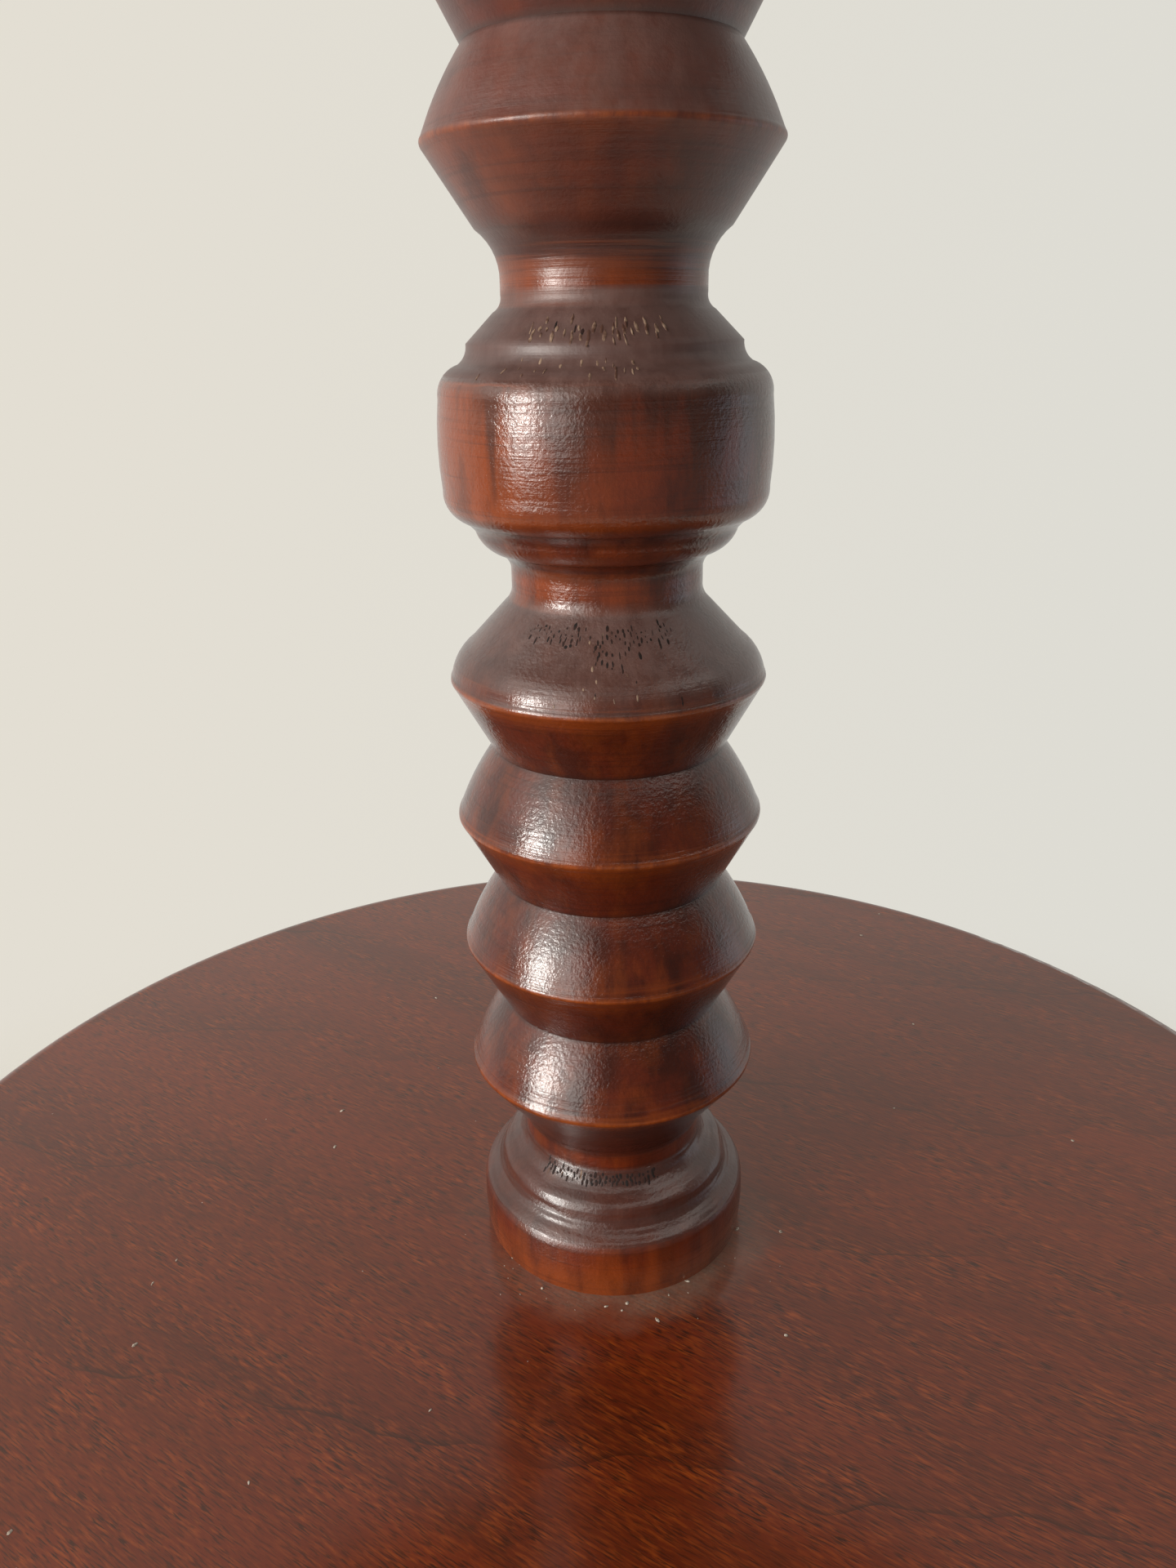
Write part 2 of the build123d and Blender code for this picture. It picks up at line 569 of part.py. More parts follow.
# Round pins fixed in the block, and the battens that turn on them
for side, name in ((-1, "left"), (1, "right")):
    with BuildPart() as pivot_pin:
        with Locations(PIN_SEATS[side].offset(-PIN_IN_BLOCK)):
            Cylinder(
                PIN_RADIUS,
                PIN_IN_BLOCK + BATTEN_SIDE_GAP + PIN_IN_BATTEN,
                align=(Align.CENTER, Align.CENTER, Align.MIN),
            )
    save(pivot_pin, f"pivot_pin_{name}")
    tip_y, flat_y, tip_z = BATTEN_LENGTH / 2, BATTEN_LENGTH / 2 - BATTEN_TAPER, TOP_UNDER_Z - BATTEN_TIP_DEPTH
    with BuildPart() as batten:
        with BuildSketch(Plane((side * BATTEN_INNER_X, 0, 0), x_dir=(0, 1, 0), z_dir=(1, 0, 0))):
            with BuildLine():
                Polyline((-tip_y, tip_z), (-tip_y, TOP_UNDER_Z), (tip_y, TOP_UNDER_Z), (tip_y, tip_z))
                SagittaArc((tip_y, tip_z), (flat_y, BATTEN_UNDER_Z), -BATTEN_TAPER_HOLLOW)
                Line((flat_y, BATTEN_UNDER_Z), (-flat_y, BATTEN_UNDER_Z))
                SagittaArc((-flat_y, BATTEN_UNDER_Z), (-tip_y, tip_z), -BATTEN_TAPER_HOLLOW)
            make_face()
        extrude(amount=side * BATTEN_WIDTH)
        with Locations(Plane((side * BATTEN_INNER_X, PIVOT_Y, PIVOT_Z), z_dir=(-side, 0, 0))):
            Cylinder(
                PIN_RADIUS + PIN_RUNNING_CLEARANCE,
                PIN_IN_BATTEN + PIN_END_CLEARANCE,
                align=(Align.CENTER, Align.CENTER, Align.MAX),
                mode=Mode.SUBTRACT,
            )
        screws(BATTEN_SCREW_PLANES[side], WOOD_SCREW, Mode.SUBTRACT, SCREW_CLEARANCE)
    save(batten, f"batten_{name}")

with BuildPart() as batten_screws:
    screws(BATTEN_SCREW_PLANES[-1] + BATTEN_SCREW_PLANES[1], WOOD_SCREW)
save(batten_screws, "batten_screws")

# Tilting top
with BuildPart() as tilt_top:
    round_board(TOP_RADIUS, TOP_THICKNESS, TOP_UNDER_Z)
    screws(BATTEN_SCREW_PLANES[-1] + BATTEN_SCREW_PLANES[1], WOOD_SCREW, Mode.SUBTRACT, SCREW_CLEARANCE)
    screws(PLATE_SCREW_PLANES, SMALL_SCREW, Mode.SUBTRACT, SCREW_CLEARANCE)
save(tilt_top, "tilt_top")

# Plate of the slide bolt, with a bored guide near each end
GUIDE_UNDER_Z = BOLT_Z - BOLT_RADIUS - BOLT_CLEARANCE - GUIDE_WALL
with BuildPart() as bolt_plate:
    for guide_y in GUIDE_YS:
        with Locations((0, guide_y, GUIDE_UNDER_Z)):
            Box(
                GUIDE_WIDTH,
                GUIDE_LENGTH,
                PLATE_UNDER_Z - GUIDE_UNDER_Z,
                align=(Align.CENTER, Align.CENTER, Align.MIN),
            )
    fillet(edges().filter_by(Axis.Y).group_by(Axis.Z)[0], GUIDE_ROUND)
    with BuildSketch(Plane.XY.offset(PLATE_UNDER_Z)):
        with Locations((0, PLATE_MID_Y)):
            RectangleRounded(PLATE_WIDTH, PLATE_LENGTH, PLATE_CORNER)
    extrude(amount=PLATE_THICKNESS)
    with Locations(Plane((0, PLATE_MID_Y, BOLT_Z), z_dir=(0, 1, 0))):
        Cylinder(BOLT_RADIUS + BOLT_CLEARANCE, PLATE_LENGTH, mode=Mode.SUBTRACT)
    screws(PLATE_SCREW_PLANES, SMALL_SCREW, Mode.SUBTRACT, SCREW_CLEARANCE)
save(bolt_plate, "bolt_plate")

with BuildPart() as bolt_plate_screws:
    screws(PLATE_SCREW_PLANES, SMALL_SCREW)
save(bolt_plate_screws, "bolt_plate_screws")

# Slide bolt, drawn back, with its knob in a socket underneath
with BuildPart() as slide_bolt:
    with Locations(Plane((0, BOLT_NOSE_Y, BOLT_Z), z_dir=(0, 1, 0))):
        Cylinder(BOLT_RADIUS, BOLT_NOSE_Y - BOLT_TAIL_Y, align=(Align.CENTER, Align.CENTER, Align.MAX))
    chamfer(edges().filter_by(GeomType.CIRCLE), BOLT_NOSE_CHAMFER)
    with Locations((0, KNOB_Y, BOLT_Z - BOLT_RADIUS)):
        Cylinder(KNOB_STEM_RADIUS + GLUE_LINE, 2 * KNOB_SOCKET_DEPTH, mode=Mode.SUBTRACT)
save(slide_bolt, "slide_bolt")

with BuildPart() as bolt_knob:
    with Locations((0, KNOB_Y, BOLT_Z - BOLT_RADIUS + KNOB_SOCKET_DEPTH - GLUE_LINE)):
        Cylinder(
            KNOB_STEM_RADIUS,
            KNOB_SOCKET_DEPTH + KNOB_STEM_LENGTH + KNOB_RADIUS / 2,
            align=(Align.CENTER, Align.CENTER, Align.MAX),
        )
    with Locations((0, KNOB_Y, BOLT_Z - BOLT_RADIUS - KNOB_STEM_LENGTH - KNOB_RADIUS / 2)):
        Sphere(KNOB_RADIUS)
save(bolt_knob, "bolt_knob")

# Keeper let into the front of the block
with BuildPart() as keeper_plate:
    with Locations(KEEPER_SEAT):
        Box(KEEPER_WIDTH, KEEPER_HEIGHT, KEEPER_THICKNESS, align=(Align.CENTER, Align.CENTER, Align.MAX))
        Cylinder(KEEPER_HOLE_RADIUS, 3 * KEEPER_THICKNESS, mode=Mode.SUBTRACT)
    screws(KEEPER_SCREW_PLANES, SMALL_SCREW, Mode.SUBTRACT, SCREW_CLEARANCE)
save(keeper_plate, "keeper_plate")

with BuildPart() as keeper_screws:
    screws(KEEPER_SCREW_PLANES, SMALL_SCREW)
save(keeper_screws, "keeper_screws")
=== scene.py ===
"""Looks of a two-tier tilt-top table: turned column, mahogany boards, brass slide bolt, and a studio."""

import logging
import math
from dataclasses import dataclass
from enum import Enum
from typing import Any

import bpy
import numpy as np
from mathutils import Matrix, Vector


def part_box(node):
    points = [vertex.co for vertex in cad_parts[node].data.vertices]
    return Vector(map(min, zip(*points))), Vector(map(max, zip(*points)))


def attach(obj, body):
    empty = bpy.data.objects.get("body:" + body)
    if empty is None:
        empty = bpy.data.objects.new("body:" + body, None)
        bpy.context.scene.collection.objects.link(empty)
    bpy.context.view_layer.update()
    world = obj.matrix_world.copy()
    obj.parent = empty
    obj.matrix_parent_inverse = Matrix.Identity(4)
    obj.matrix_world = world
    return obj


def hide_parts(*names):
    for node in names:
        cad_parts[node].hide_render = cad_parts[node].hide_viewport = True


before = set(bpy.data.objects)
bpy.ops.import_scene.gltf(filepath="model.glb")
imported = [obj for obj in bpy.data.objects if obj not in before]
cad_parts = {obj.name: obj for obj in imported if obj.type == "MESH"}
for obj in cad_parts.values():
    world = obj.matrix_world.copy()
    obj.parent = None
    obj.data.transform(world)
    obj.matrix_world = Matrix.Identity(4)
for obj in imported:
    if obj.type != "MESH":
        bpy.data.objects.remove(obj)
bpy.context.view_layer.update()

MM = 0.001
PHOTO_HEIGHT = 1920
Span = tuple[float, float]
Size = tuple[float, float, float]
Curve = tuple[tuple[float, float], ...]
Tree = bpy.types.NodeTree
Mesh = bpy.types.Mesh
Material = bpy.types.Material
Array = np.ndarray
log = logging.getLogger("tilt_top_table")


def linear(hex_colour: str) -> tuple[float, float, float, float]:
    """Turns an sRGB hex colour into linear RGBA.

    Args:
        hex_colour: A colour such as "#6b2a17".

    Returns:
        Linear red, green, blue and an alpha of 1.
    """
    channels = [int(hex_colour[i : i + 2], 16) / 255 for i in (1, 3, 5)]
    red, green, blue = (c / 12.92 if c <= 0.04045 else ((c + 0.055) / 1.055) ** 2.4 for c in channels)
    return (red, green, blue, 1.0)


def follow(curve: Curve, at: Array) -> Array:
    """Reads a curve of straight stretches, given as its points, at each of these places."""
    return np.interp(at, *zip(*curve))


def within(values: Array, span: Span) -> Array:
    """Tells which values lie inside a span."""
    return (values > span[0]) & (values < span[1])


def node_points(name: str) -> Array:
    """Reads the vertices of a CAD node, in metres."""
    return np.array([v.co[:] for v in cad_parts[name].data.vertices])


def add(tree: Tree, kind: str, inputs: dict | None = None, out: int | str = 0, **settings: Any) -> Any:
    """Adds one node to a tree, with its settings, values and links.

    Args:
        tree: The tree that gets the node.
        kind: The node's type name.
        inputs: Input name or index to a value, or to an output socket that is linked to it.
        out: Name or index of the output that the caller goes on with.
        **settings: Properties of the node.

    Returns:
        The chosen output socket, or the node itself where it has no outputs.
    """
    made = tree.nodes.new(kind)
    for key, value in settings.items():
        setattr(made, key, value)
    for key, value in (inputs or {}).items():
        if isinstance(value, bpy.types.NodeSocket):
            tree.links.new(value, made.inputs[key])
        else:
            made.inputs[key].default_value = value
    return made.outputs[out] if len(made.outputs) else made


def calc(tree: Tree, operation: str, *values: Any) -> Any:
    """Adds a Math node on numbers or sockets, and returns its result."""
    return add(tree, "ShaderNodeMath", dict(enumerate(values)), operation=operation)


def project(tree: Tree, place: Any, way: Size) -> Any:
    """Adds the dot product of a vector socket and a direction, and returns it."""
    return add(tree, "ShaderNodeVectorMath", {0: place, 1: way}, out="Value", operation="DOT_PRODUCT")


def remap(
    tree: Tree,
    value: Any,
    low: float = 0.0,
    high: float = 1.0,
    first: Any = 0.0,
    last: Any = 1.0,
    smooth: bool = False,
) -> Any:
    """Adds a node that maps a range of values to another, and stops at its ends.

    Args:
        tree: The tree that gets the node.
        value: Socket of the value.
        low: Value that gives first.
        high: Value that gives last.
        first: Result at the low end, a number or a socket.
        last: Result at the high end, a number or a socket.
        smooth: Whether the ends are eased.

    Returns:
        The result's socket.
    """
    inputs = {"Value": value, "From Min": low, "From Max": high, "To Min": first, "To Max": last}
    easing = "SMOOTHSTEP" if smooth else "LINEAR"
    return add(tree, "ShaderNodeMapRange", inputs, interpolation_type=easing)


def noise(
    tree: Tree,
    place: Any,
    sizes: float | Size,
    detail: float = 2.0,
    roughness: float = 0.5,
    distortion: float = 0.0,
    shift: Size = (0.0, 0.0, 0.0),
) -> Any:
    """Adds a noise.

    Args:
        tree: The tree that gets the nodes.
        place: Socket of the coordinates, in metres.
        sizes: Size of the noise's features in millimetres, one for all axes or one for each.
        detail: Octaves of the noise.
        roughness: Share of each finer octave.
        distortion: How much the noise warps itself.
        shift: Offset within the noise.

    Returns:
        The noise's socket.
    """
    scale = 1.0
    if isinstance(sizes, float):
        scale = 1 / (sizes * MM)
    else:
        scales = tuple(1 / (size * MM) for size in sizes)
        place = add(tree, "ShaderNodeMapping", {"Vector": place, "Location": shift, "Scale": scales})
    inputs = {"Scale": scale, "Detail": detail, "Roughness": roughness, "Distortion": distortion}
    return add(tree, "ShaderNodeTexNoise", {"Vector": place} | inputs)


def tint(tree: Tree, share: Any, below: Any, above: Any) -> Any:
    """Adds a mix that lays a share of one colour over another.

    Args:
        tree: The tree that gets the node.
        share: Socket of the share.
        below: The lower colour, as sRGB hex or as a socket.
        above: The upper colour, likewise.

    Returns:
        The mixed colour's socket.
    """
    lower, upper = (linear(colour) if isinstance(colour, str) else colour for colour in (below, above))
    return add(tree, "ShaderNodeMix", {0: share, 6: lower, 7: upper}, out=2, data_type="RGBA")


def bump(tree: Tree, height: Any, strength: float, distance: float, **settings: Any) -> Any:
    """Adds a Bump node, with its distance in metres, and returns its normal."""
    inputs = {"Height": height, "Strength": strength, "Distance": distance}
    return add(tree, "ShaderNodeBump", inputs, **settings)


def turn_flat(tree: Tree, place: Any, degrees: float) -> Any:
    """Adds a mapping that turns coordinates about Z, so that X follows a grain at these degrees."""
    turn = (0.0, 0.0, math.radians(-degrees))
    return add(tree, "ShaderNodeMapping", {"Vector": place, "Rotation": turn})


def start_material(name: str) -> tuple[Material, Tree, Any]:
    """Makes an empty material.

    Args:
        name: The material's name, after what the real one is.

    Returns:
        The material, its node tree and the Object coordinates' socket.
    """
    material = bpy.data.materials.new(name)
    material.use_nodes = True
    tree = material.node_tree
    tree.nodes.clear()
    return material, tree, add(tree, "ShaderNodeTexCoord", out="Object")


class Finish:
    """A finish whose material is one Principled BSDF."""

    name: str

    def surface(self, tree: Tree, place: Any) -> dict[str, Any]:
        """Works out the look.

        Args:
            tree: The material's tree.
            place: Socket of the Object coordinates.

        Returns:
            Inputs of the Principled BSDF.
        """
        raise NotImplementedError

    def build(self) -> Material:
        """Makes the material, named after what the real one is."""
        material, tree, place = start_material(self.name)
        look = add(tree, "ShaderNodeBsdfPrincipled", self.surface(tree, place))
        add(tree, "ShaderNodeOutputMaterial", {"Surface": look})
        return material


class GrainAxis(Enum):
    """Which way the fibres of a piece run, as axes of the piece after its turn about Z."""

    UP = "up"
    RADIAL = "radial"
    ACROSS = "across"

    def sizes(self, width: float, length: float) -> Size:
        """Sizes along the axes of features of this width and this length along the fibres."""
        by_axis = {
            GrainAxis.UP: (width, width, length),
            GrainAxis.RADIAL: (length, width, width),
            GrainAxis.ACROSS: (width, length, width),
        }
        return by_axis[self]


# Attributes of the lathe mesh that the stained beech reads
TURNED_MARKS = "ridge glow groove facing_up facing_down bare bloom scored bleed level torn".split()


@dataclass(frozen=True)
class StainedBeech(Finish):
    """Beech, turned or sawn, stained mahogany red and lacquered.

    The eye sees tool marks, fibres where the stain took unevenly, ridges where the stain is rubbed
    through to orange, and a glossy skin with an orange peel. On the lathe mesh, faces that look up are
    darker, partly from end grain and partly from painted shade, and carry a grey bloom that is partly
    painted reflection. Faces that look down carry painted shade, and the lit left side, the foot's lowest
    band and the rounding under each ridge carry painted light. Grooves and torn bands are darker, partly
    from stain and partly from painted shade.
    Features of the wood are given by their width and length, in millimetres.
    """

    name: str = "turned_beech_red_stain"
    grain: GrainAxis = GrainAxis.UP
    turn: float = 0.0
    body: str = "#6c260d"
    deep: str = "#351005"
    warm: str = "#9a4510"
    dusky: str = "#32150c"
    rubbed: str = "#b4591a"
    bloom: str = "#866a63"
    tool_mark: Span = (0.9, 40.0)
    tool_mark_depth: float = 0.15
    shallow_mark: float = 0.3
    fibre: Span = (1.1, 34.0)
    streak: Span = (4.5, 60.0)
    cloud: Span = (15.0, 6.0)
    stain: Span = (9.0, 22.0)
    grime: Span = (3.0, 7.0)
    peel: float = 0.75
    peel_depth: float = 0.115
    level_peel: float = 0.4
    brushed_peel: float = 0.65
    gloss: float = 0.15
    coat: float = 1.0
    coat_roughness: float = 0.1
    dull_roughness: float = 0.44
    coat_ior: float = 1.62

    def sense(self, tree: Tree, place: Any) -> dict[str, Any]:
        """Adds the noises and attributes that the layers and the skin read.

        Args:
            tree: The material's tree.
            place: Socket of the coordinates, turned to the grain.

        Returns:
            Name to socket.
        """
        along = self.grain.sizes
        mark, reach = self.tool_mark
        cloud, rise = self.cloud
        noises = {
            "marks": ((reach, reach, mark) if self.grain is GrainAxis.UP else along(mark, reach), 3.0, 0.65),
            "fibres": (along(*self.fibre), 4.0, 0.6),
            "streaks": (along(*self.streak), 3.0, 0.5),
            "clouds": ((cloud, cloud, rise), 5.0, 0.6),
            "stains": (along(*self.stain), 4.0, 0.6),
            "grime": (along(*self.grime), 5.0, 0.7),
            "peel": ((self.peel, self.peel, self.peel), 3.0, 0.6),
        }
        seen = {title: noise(tree, place, *setup) for title, setup in noises.items()}
        for title in TURNED_MARKS:
            seen[title] = add(tree, "ShaderNodeAttribute", out="Fac", attribute_name=title)
        uneven = {
            "ridge": remap(tree, seen["grime"], 0.4, 0.6, 0.15, 1.0),
            "bare": remap(tree, seen["stains"], 0.42, 0.62, 1.05, 0.35),
            "bloom": remap(tree, seen["grime"], 0.36, 0.62, 0.65, 1.1),
        }
        for title, share in uneven.items():
            seen[title] = calc(tree, "MULTIPLY", seen[title], share)
        seen["lines"] = calc(tree, "MULTIPLY", seen["marks"], seen["scored"])
        seen["run"] = calc(tree, "ADD", seen["bleed"], seen["streaks"])
        return seen

    def stain_colour(self, tree: Tree, seen: dict[str, Any]) -> Any:
        """Lays the tones of the stain over each other.

        Args:
            tree: The material's tree.
            seen: Name to socket, from sense.

        Returns:
            The colour's socket.
        """
        # Source, its low and high value, the largest share, or two by how level the skin is, and the tone
        layers = (
            ("clouds", 0.44, 0.66, 0.5, self.deep),
            ("stains", 0.46, 0.62, (0.7, 0.25), self.deep),
            ("streaks", 0.46, 0.66, (0.4, 0.15), self.warm),
            ("fibres", 0.5, 0.74, (0.35, 0.1), self.deep),
            # Faces that look up: darker end grain together with painted shade
            ("facing_up", 0.0, 1.0, 0.75, self.dusky),
            # Faces that look down: painted shade, strongest on the low beads and under the top bead
            ("facing_down", 0.0, 2.4, 0.8, self.deep),
            # Orange where the stain is thin, together with painted light on the lit left side and at the
            # foot's lowest band
            ("bare", 0.0, 1.0, 0.65, self.warm),
            # Painted light: a warm band on the rounding just under each ridge
            ("glow", 0.0, 1.0, 0.3, self.warm),
            ("marks", 0.52, 0.68, 0.35, self.deep),
            ("lines", 0.42, 0.6, 0.35, self.warm),
            ("run", 1.0, 1.16, 0.7, self.dusky),
            ("ridge", 0.0, 1.0, 0.55, self.rubbed),
            # Darker in grooves: partly stain that collects there, partly painted shade
            ("groove", 0.0, 1.0, 0.75, self.dusky),
            # Darker in torn bands: partly stain in the torn grain, partly painted shade round the slivers
            ("torn", 0.0, 1.0, 0.55, self.dusky),
            # Grey bloom on faces that look up: partly dust and bloom of the lacquer, partly painted
            # reflection of a pale ceiling
            ("bloom", 0.0, 1.0, 0.6, self.bloom),
        )
        colour = self.body
        for source, low, high, most, tone in layers:
            if isinstance(most, tuple):
                most = remap(tree, seen["level"], 0.0, 1.0, *most)
            colour = tint(tree, remap(tree, seen[source], low, high, 0.0, most), colour, tone)
        return colour

    def skin(self, tree: Tree, seen: dict[str, Any]) -> dict[str, Any]:
        """Works out the lacquer, with its tool marks and its orange peel.

        Args:
            tree: The material's tree.
            seen: Name to socket, from sense.

        Returns:
            Inputs of the surface.
        """
        mark_depth, peel_depth = self.tool_mark_depth * MM, self.peel_depth * MM
        depth = remap(tree, seen["scored"], 0.0, 1.0, self.shallow_mark * mark_depth, mark_depth)
        scored = calc(tree, "MULTIPLY", seen["marks"], depth)
        peeled = remap(tree, seen["level"], 0.0, 1.0, peel_depth, self.level_peel * peel_depth)
        brushed = remap(tree, seen["scored"], 0.0, 1.0, 1.0, self.brushed_peel)
        peeled = calc(tree, "MULTIPLY", peeled, brushed)
        uneven = bump(tree, calc(tree, "MULTIPLY_ADD", seen["peel"], peeled, scored), 1.0, 1.0)
        clear = remap(tree, seen["scored"], 0.0, 1.0, 0.7, 0.15)
        hazed = calc(tree, "MULTIPLY", seen["bloom"], clear)
        dull = calc(tree, "MAXIMUM", hazed, seen["level"])
        return {
            "Roughness": remap(tree, seen["marks"], 0.0, 1.0, 0.4, 0.6),
            "IOR": 1.5,
            "Specular IOR Level": self.gloss,
            "Normal": uneven,
            "Coat Weight": self.coat,
            "Coat Roughness": remap(tree, dull, 0.0, 1.0, self.coat_roughness, self.dull_roughness),
            "Coat IOR": self.coat_ior,
            "Coat Normal": uneven,
        }

    def surface(self, tree: Tree, place: Any) -> dict[str, Any]:
        """Works out the look, which follows the marks of the lathe mesh where a piece has them."""
        seen = self.sense(tree, turn_flat(tree, place, self.turn))
        return {"Base Color": self.stain_colour(tree, seen)} | self.skin(tree, seen)


@dataclass(frozen=True)
class MahoganyBoard(Finish):
    """Mahogany board, thinly filled and lacquered to a low gloss.

    The eye sees short dark pores and orange flecks along the grain, soft cloudy bands and a few thin
    dark figure lines. On the shelf, dust has settled in a ring round the column's foot.
    Features of the wood are given by their width and length, in millimetres.
    """

    name: str = "mahogany_board_lacquered"
    grain_turn: float = -33.0
    body: str = "#6b2409"
    deep: str = "#471505"
    fleck: str = "#93420f"
    pore: str = "#200b04"
    varnish: str = "#ff9a5c"
    dust: str = "#8d7a6c"
    pore_size: Span = (0.36, 3.4)
    fleck_size: Span = (0.612, 4.76)
    fleck_shift: Size = (3.1, 7.7, 0.0)
    patch_size: Span = (9.0, 26.0)
    patch_range: Span = (0.38, 0.6)
    band_size: Span = (22.0, 170.0)
    figure_spacing: float = 63.0
    figure_offset: float = 7.0
    figure_slope: float = -0.42
    figure_wave: float = 42.0
    figure_wander: float = 32.0
    dusty: bool = False
    dust_fade: Span = (34.0, 46.0)
    dust_wander: float = 12.0
    dust_cloud: float = 9.0
    dust_grit: float = 0.7
    dust_side: Size = (0.28, -0.96, 0.0)
    dust_roughness: float = 0.85

    def growth_ring(self, tree: Tree, place: Any) -> Any:
        """Adds the place of each point between two growth rings, which wander across the board.

        Args:
            tree: The material's tree.
            place: Socket of the coordinates, turned to the grain.

        Returns:
            Socket of a number from 0, at a ring, to 1, at the next.
        """
        wander = noise(tree, place, self.figure_wave, 2.0, 0.45)
        across = project(tree, place, (self.figure_slope, 1.0, 0.0))
        across = calc(tree, "MULTIPLY_ADD", wander, self.figure_wander * MM, across)
        away = calc(tree, "SUBTRACT", across, self.figure_offset * MM)
        return calc(tree, "FRACT", calc(tree, "DIVIDE", away, self.figure_spacing * MM))

    def surface(self, tree: Tree, place: Any) -> dict[str, Any]:
        """Works out the look, with the grain turned in the board's plane."""
        turned = turn_flat(tree, place, self.grain_turn)
        along = GrainAxis.RADIAL.sizes
        bands = noise(tree, turned, along(*self.band_size), 5.0, 0.6, 0.6)
        pores = noise(tree, turned, along(*self.pore_size))
        flecks = noise(tree, turned, along(*self.fleck_size), 3.0, 0.6, shift=self.fleck_shift)
        patches = noise(tree, turned, along(*self.patch_size), 4.0, 0.6)
        ring = self.growth_ring(tree, turned)
        flecked = remap(tree, flecks, 0.46, 0.68, 0.0, remap(tree, patches, *self.patch_range, 0.25, 0.85))
        pored = remap(tree, pores, 0.5, 0.64, 0.0, remap(tree, patches, *self.patch_range, 0.5, 1.0))
        lined = remap(tree, ring, 0.004, 0.018, remap(tree, bands, 0.42, 0.58, 0.12, 0.75), 0.0)
        layers = (
            (remap(tree, bands, 0.35, 0.68, 0.0, 0.85), self.deep),
            (remap(tree, ring, 0.0, 0.3, 0.5, 0.0), self.deep),
            (flecked, self.fleck),
            (pored, self.pore),
            (lined, self.pore),
        )
        colour = self.body
        for share, tone in layers:
            colour = tint(tree, share, colour, tone)
        rough = remap(tree, flecks, 0.0, 1.0, 0.38, 0.5)
        if self.dusty:
            colour, rough = self.settle_dust(tree, place, colour, rough)
        return {
            "Base Color": colour,
            "Roughness": rough,
            "IOR": 1.5,
            "Normal": bump(tree, pored, 0.25, 0.1 * MM, invert=True),
            "Specular IOR Level": 0.75,
            "Specular Tint": linear(self.varnish),
            "Coat Weight": 1.0,
            "Coat Roughness": 0.15,
        }

    def settle_dust(self, tree: Tree, place: Any, colour: Any, rough: Any) -> tuple[Any, Any]:
        """Adds a film of dust round the column's foot, thicker at the front.

        Args:
            tree: The material's tree.
            place: Socket of the Object coordinates.
            colour: Socket of the clean board's colour.
            rough: Socket of the clean board's roughness.

        Returns:
            Sockets of the dusty colour and roughness.
        """
        flat = add(tree, "ShaderNodeVectorMath", {0: place, 1: (1.0, 1.0, 0.0)}, operation="MULTIPLY")
        reach = add(tree, "ShaderNodeVectorMath", {0: flat}, out="Value", operation="LENGTH")
        uneven = noise(tree, place, self.dust_cloud, 3.0)
        reach = calc(tree, "MULTIPLY_ADD", uneven, self.dust_wander * MM, reach)
        near, far = self.dust_fade
        fade = remap(tree, reach, near * MM, far * MM, 1.0, 0.0, smooth=True)
        way = add(tree, "ShaderNodeVectorMath", {0: flat}, operation="NORMALIZE")
        front = remap(tree, project(tree, way, self.dust_side), 0.1, 0.95, 0.12, 0.62)
        grit = remap(tree, noise(tree, place, self.dust_grit, 4.0), 0.3, 0.7, 0.6, 1.0)
        share = calc(tree, "MULTIPLY", calc(tree, "MULTIPLY", fade, front), grit)
        rough = add(tree, "ShaderNodeMix", {0: share, 2: rough, 3: self.dust_roughness}, data_type="FLOAT")
        return tint(tree, share, colour, self.dust), rough


@dataclass(frozen=True)
class Metal(Finish):
    """A worked metal with a mottled skin: aged brass, turned steel or blackened iron."""

    name: str
    bright: str
    dull: str
    roughness: Span
    mottle: float = 6.0
    scratch: float = 0.35
    scratch_length: float = 9.0

    def surface(self, tree: Tree, place: Any) -> dict[str, Any]:
        """Works out the look, with tarnish in clouds and fine rubbed scratches."""
        tarnish = noise(tree, place, self.mottle, 5.0)
        scratches = noise(tree, place, (self.scratch, self.scratch_length, self.scratch))
        return {
            "Base Color": tint(tree, remap(tree, tarnish, 0.36, 0.66), self.bright, self.dull),
            "Roughness": remap(tree, tarnish, 0.3, 0.7, *self.roughness),
            "Metallic": 1.0,
            "Normal": bump(tree, scratches, 0.2, 0.05 * MM),
        }


@dataclass(frozen=True)
class WoolFelt(Finish):
    """Pressed wool felt: a dull mat of short crossing fibres."""

    name: str = "pressed_wool_felt"
    light: str = "#5b5148"
    dark: str = "#2a241f"
    fibre: float = 0.35
    fibre_length: float = 3.0

    def surface(self, tree: Tree, place: Any) -> dict[str, Any]:
        """Works out the look from two crossing fibre noises."""
        thin, long = self.fibre, self.fibre_length
        lays = [noise(tree, place, sizes, 3.0) for sizes in ((thin, long, thin), (long, thin, thin))]
        mat = calc(tree, "MAXIMUM", *lays)
        return {
            "Base Color": tint(tree, remap(tree, mat, 0.45, 0.7), self.dark, self.light),
            "Roughness": 0.95,
            "Sheen Weight": 0.4,
            "Normal": bump(tree, mat, 0.6, 0.3 * MM),
        }


@dataclass(frozen=True)
class PlainGrain(Finish):
    """A small thing with one grain of colour: dust, or fibres torn out of the wood."""

    name: str
    light: str
    dark: str
    speck: float
    roughness: float

    def surface(self, tree: Tree, place: Any) -> dict[str, Any]:
        """Works out the look, mottled at the speck's size."""
        share = remap(tree, noise(tree, place, self.speck), 0.4, 0.6)
        colour = tint(tree, share, self.dark, self.light)
        return {"Base Color": colour, "Roughness": self.roughness}


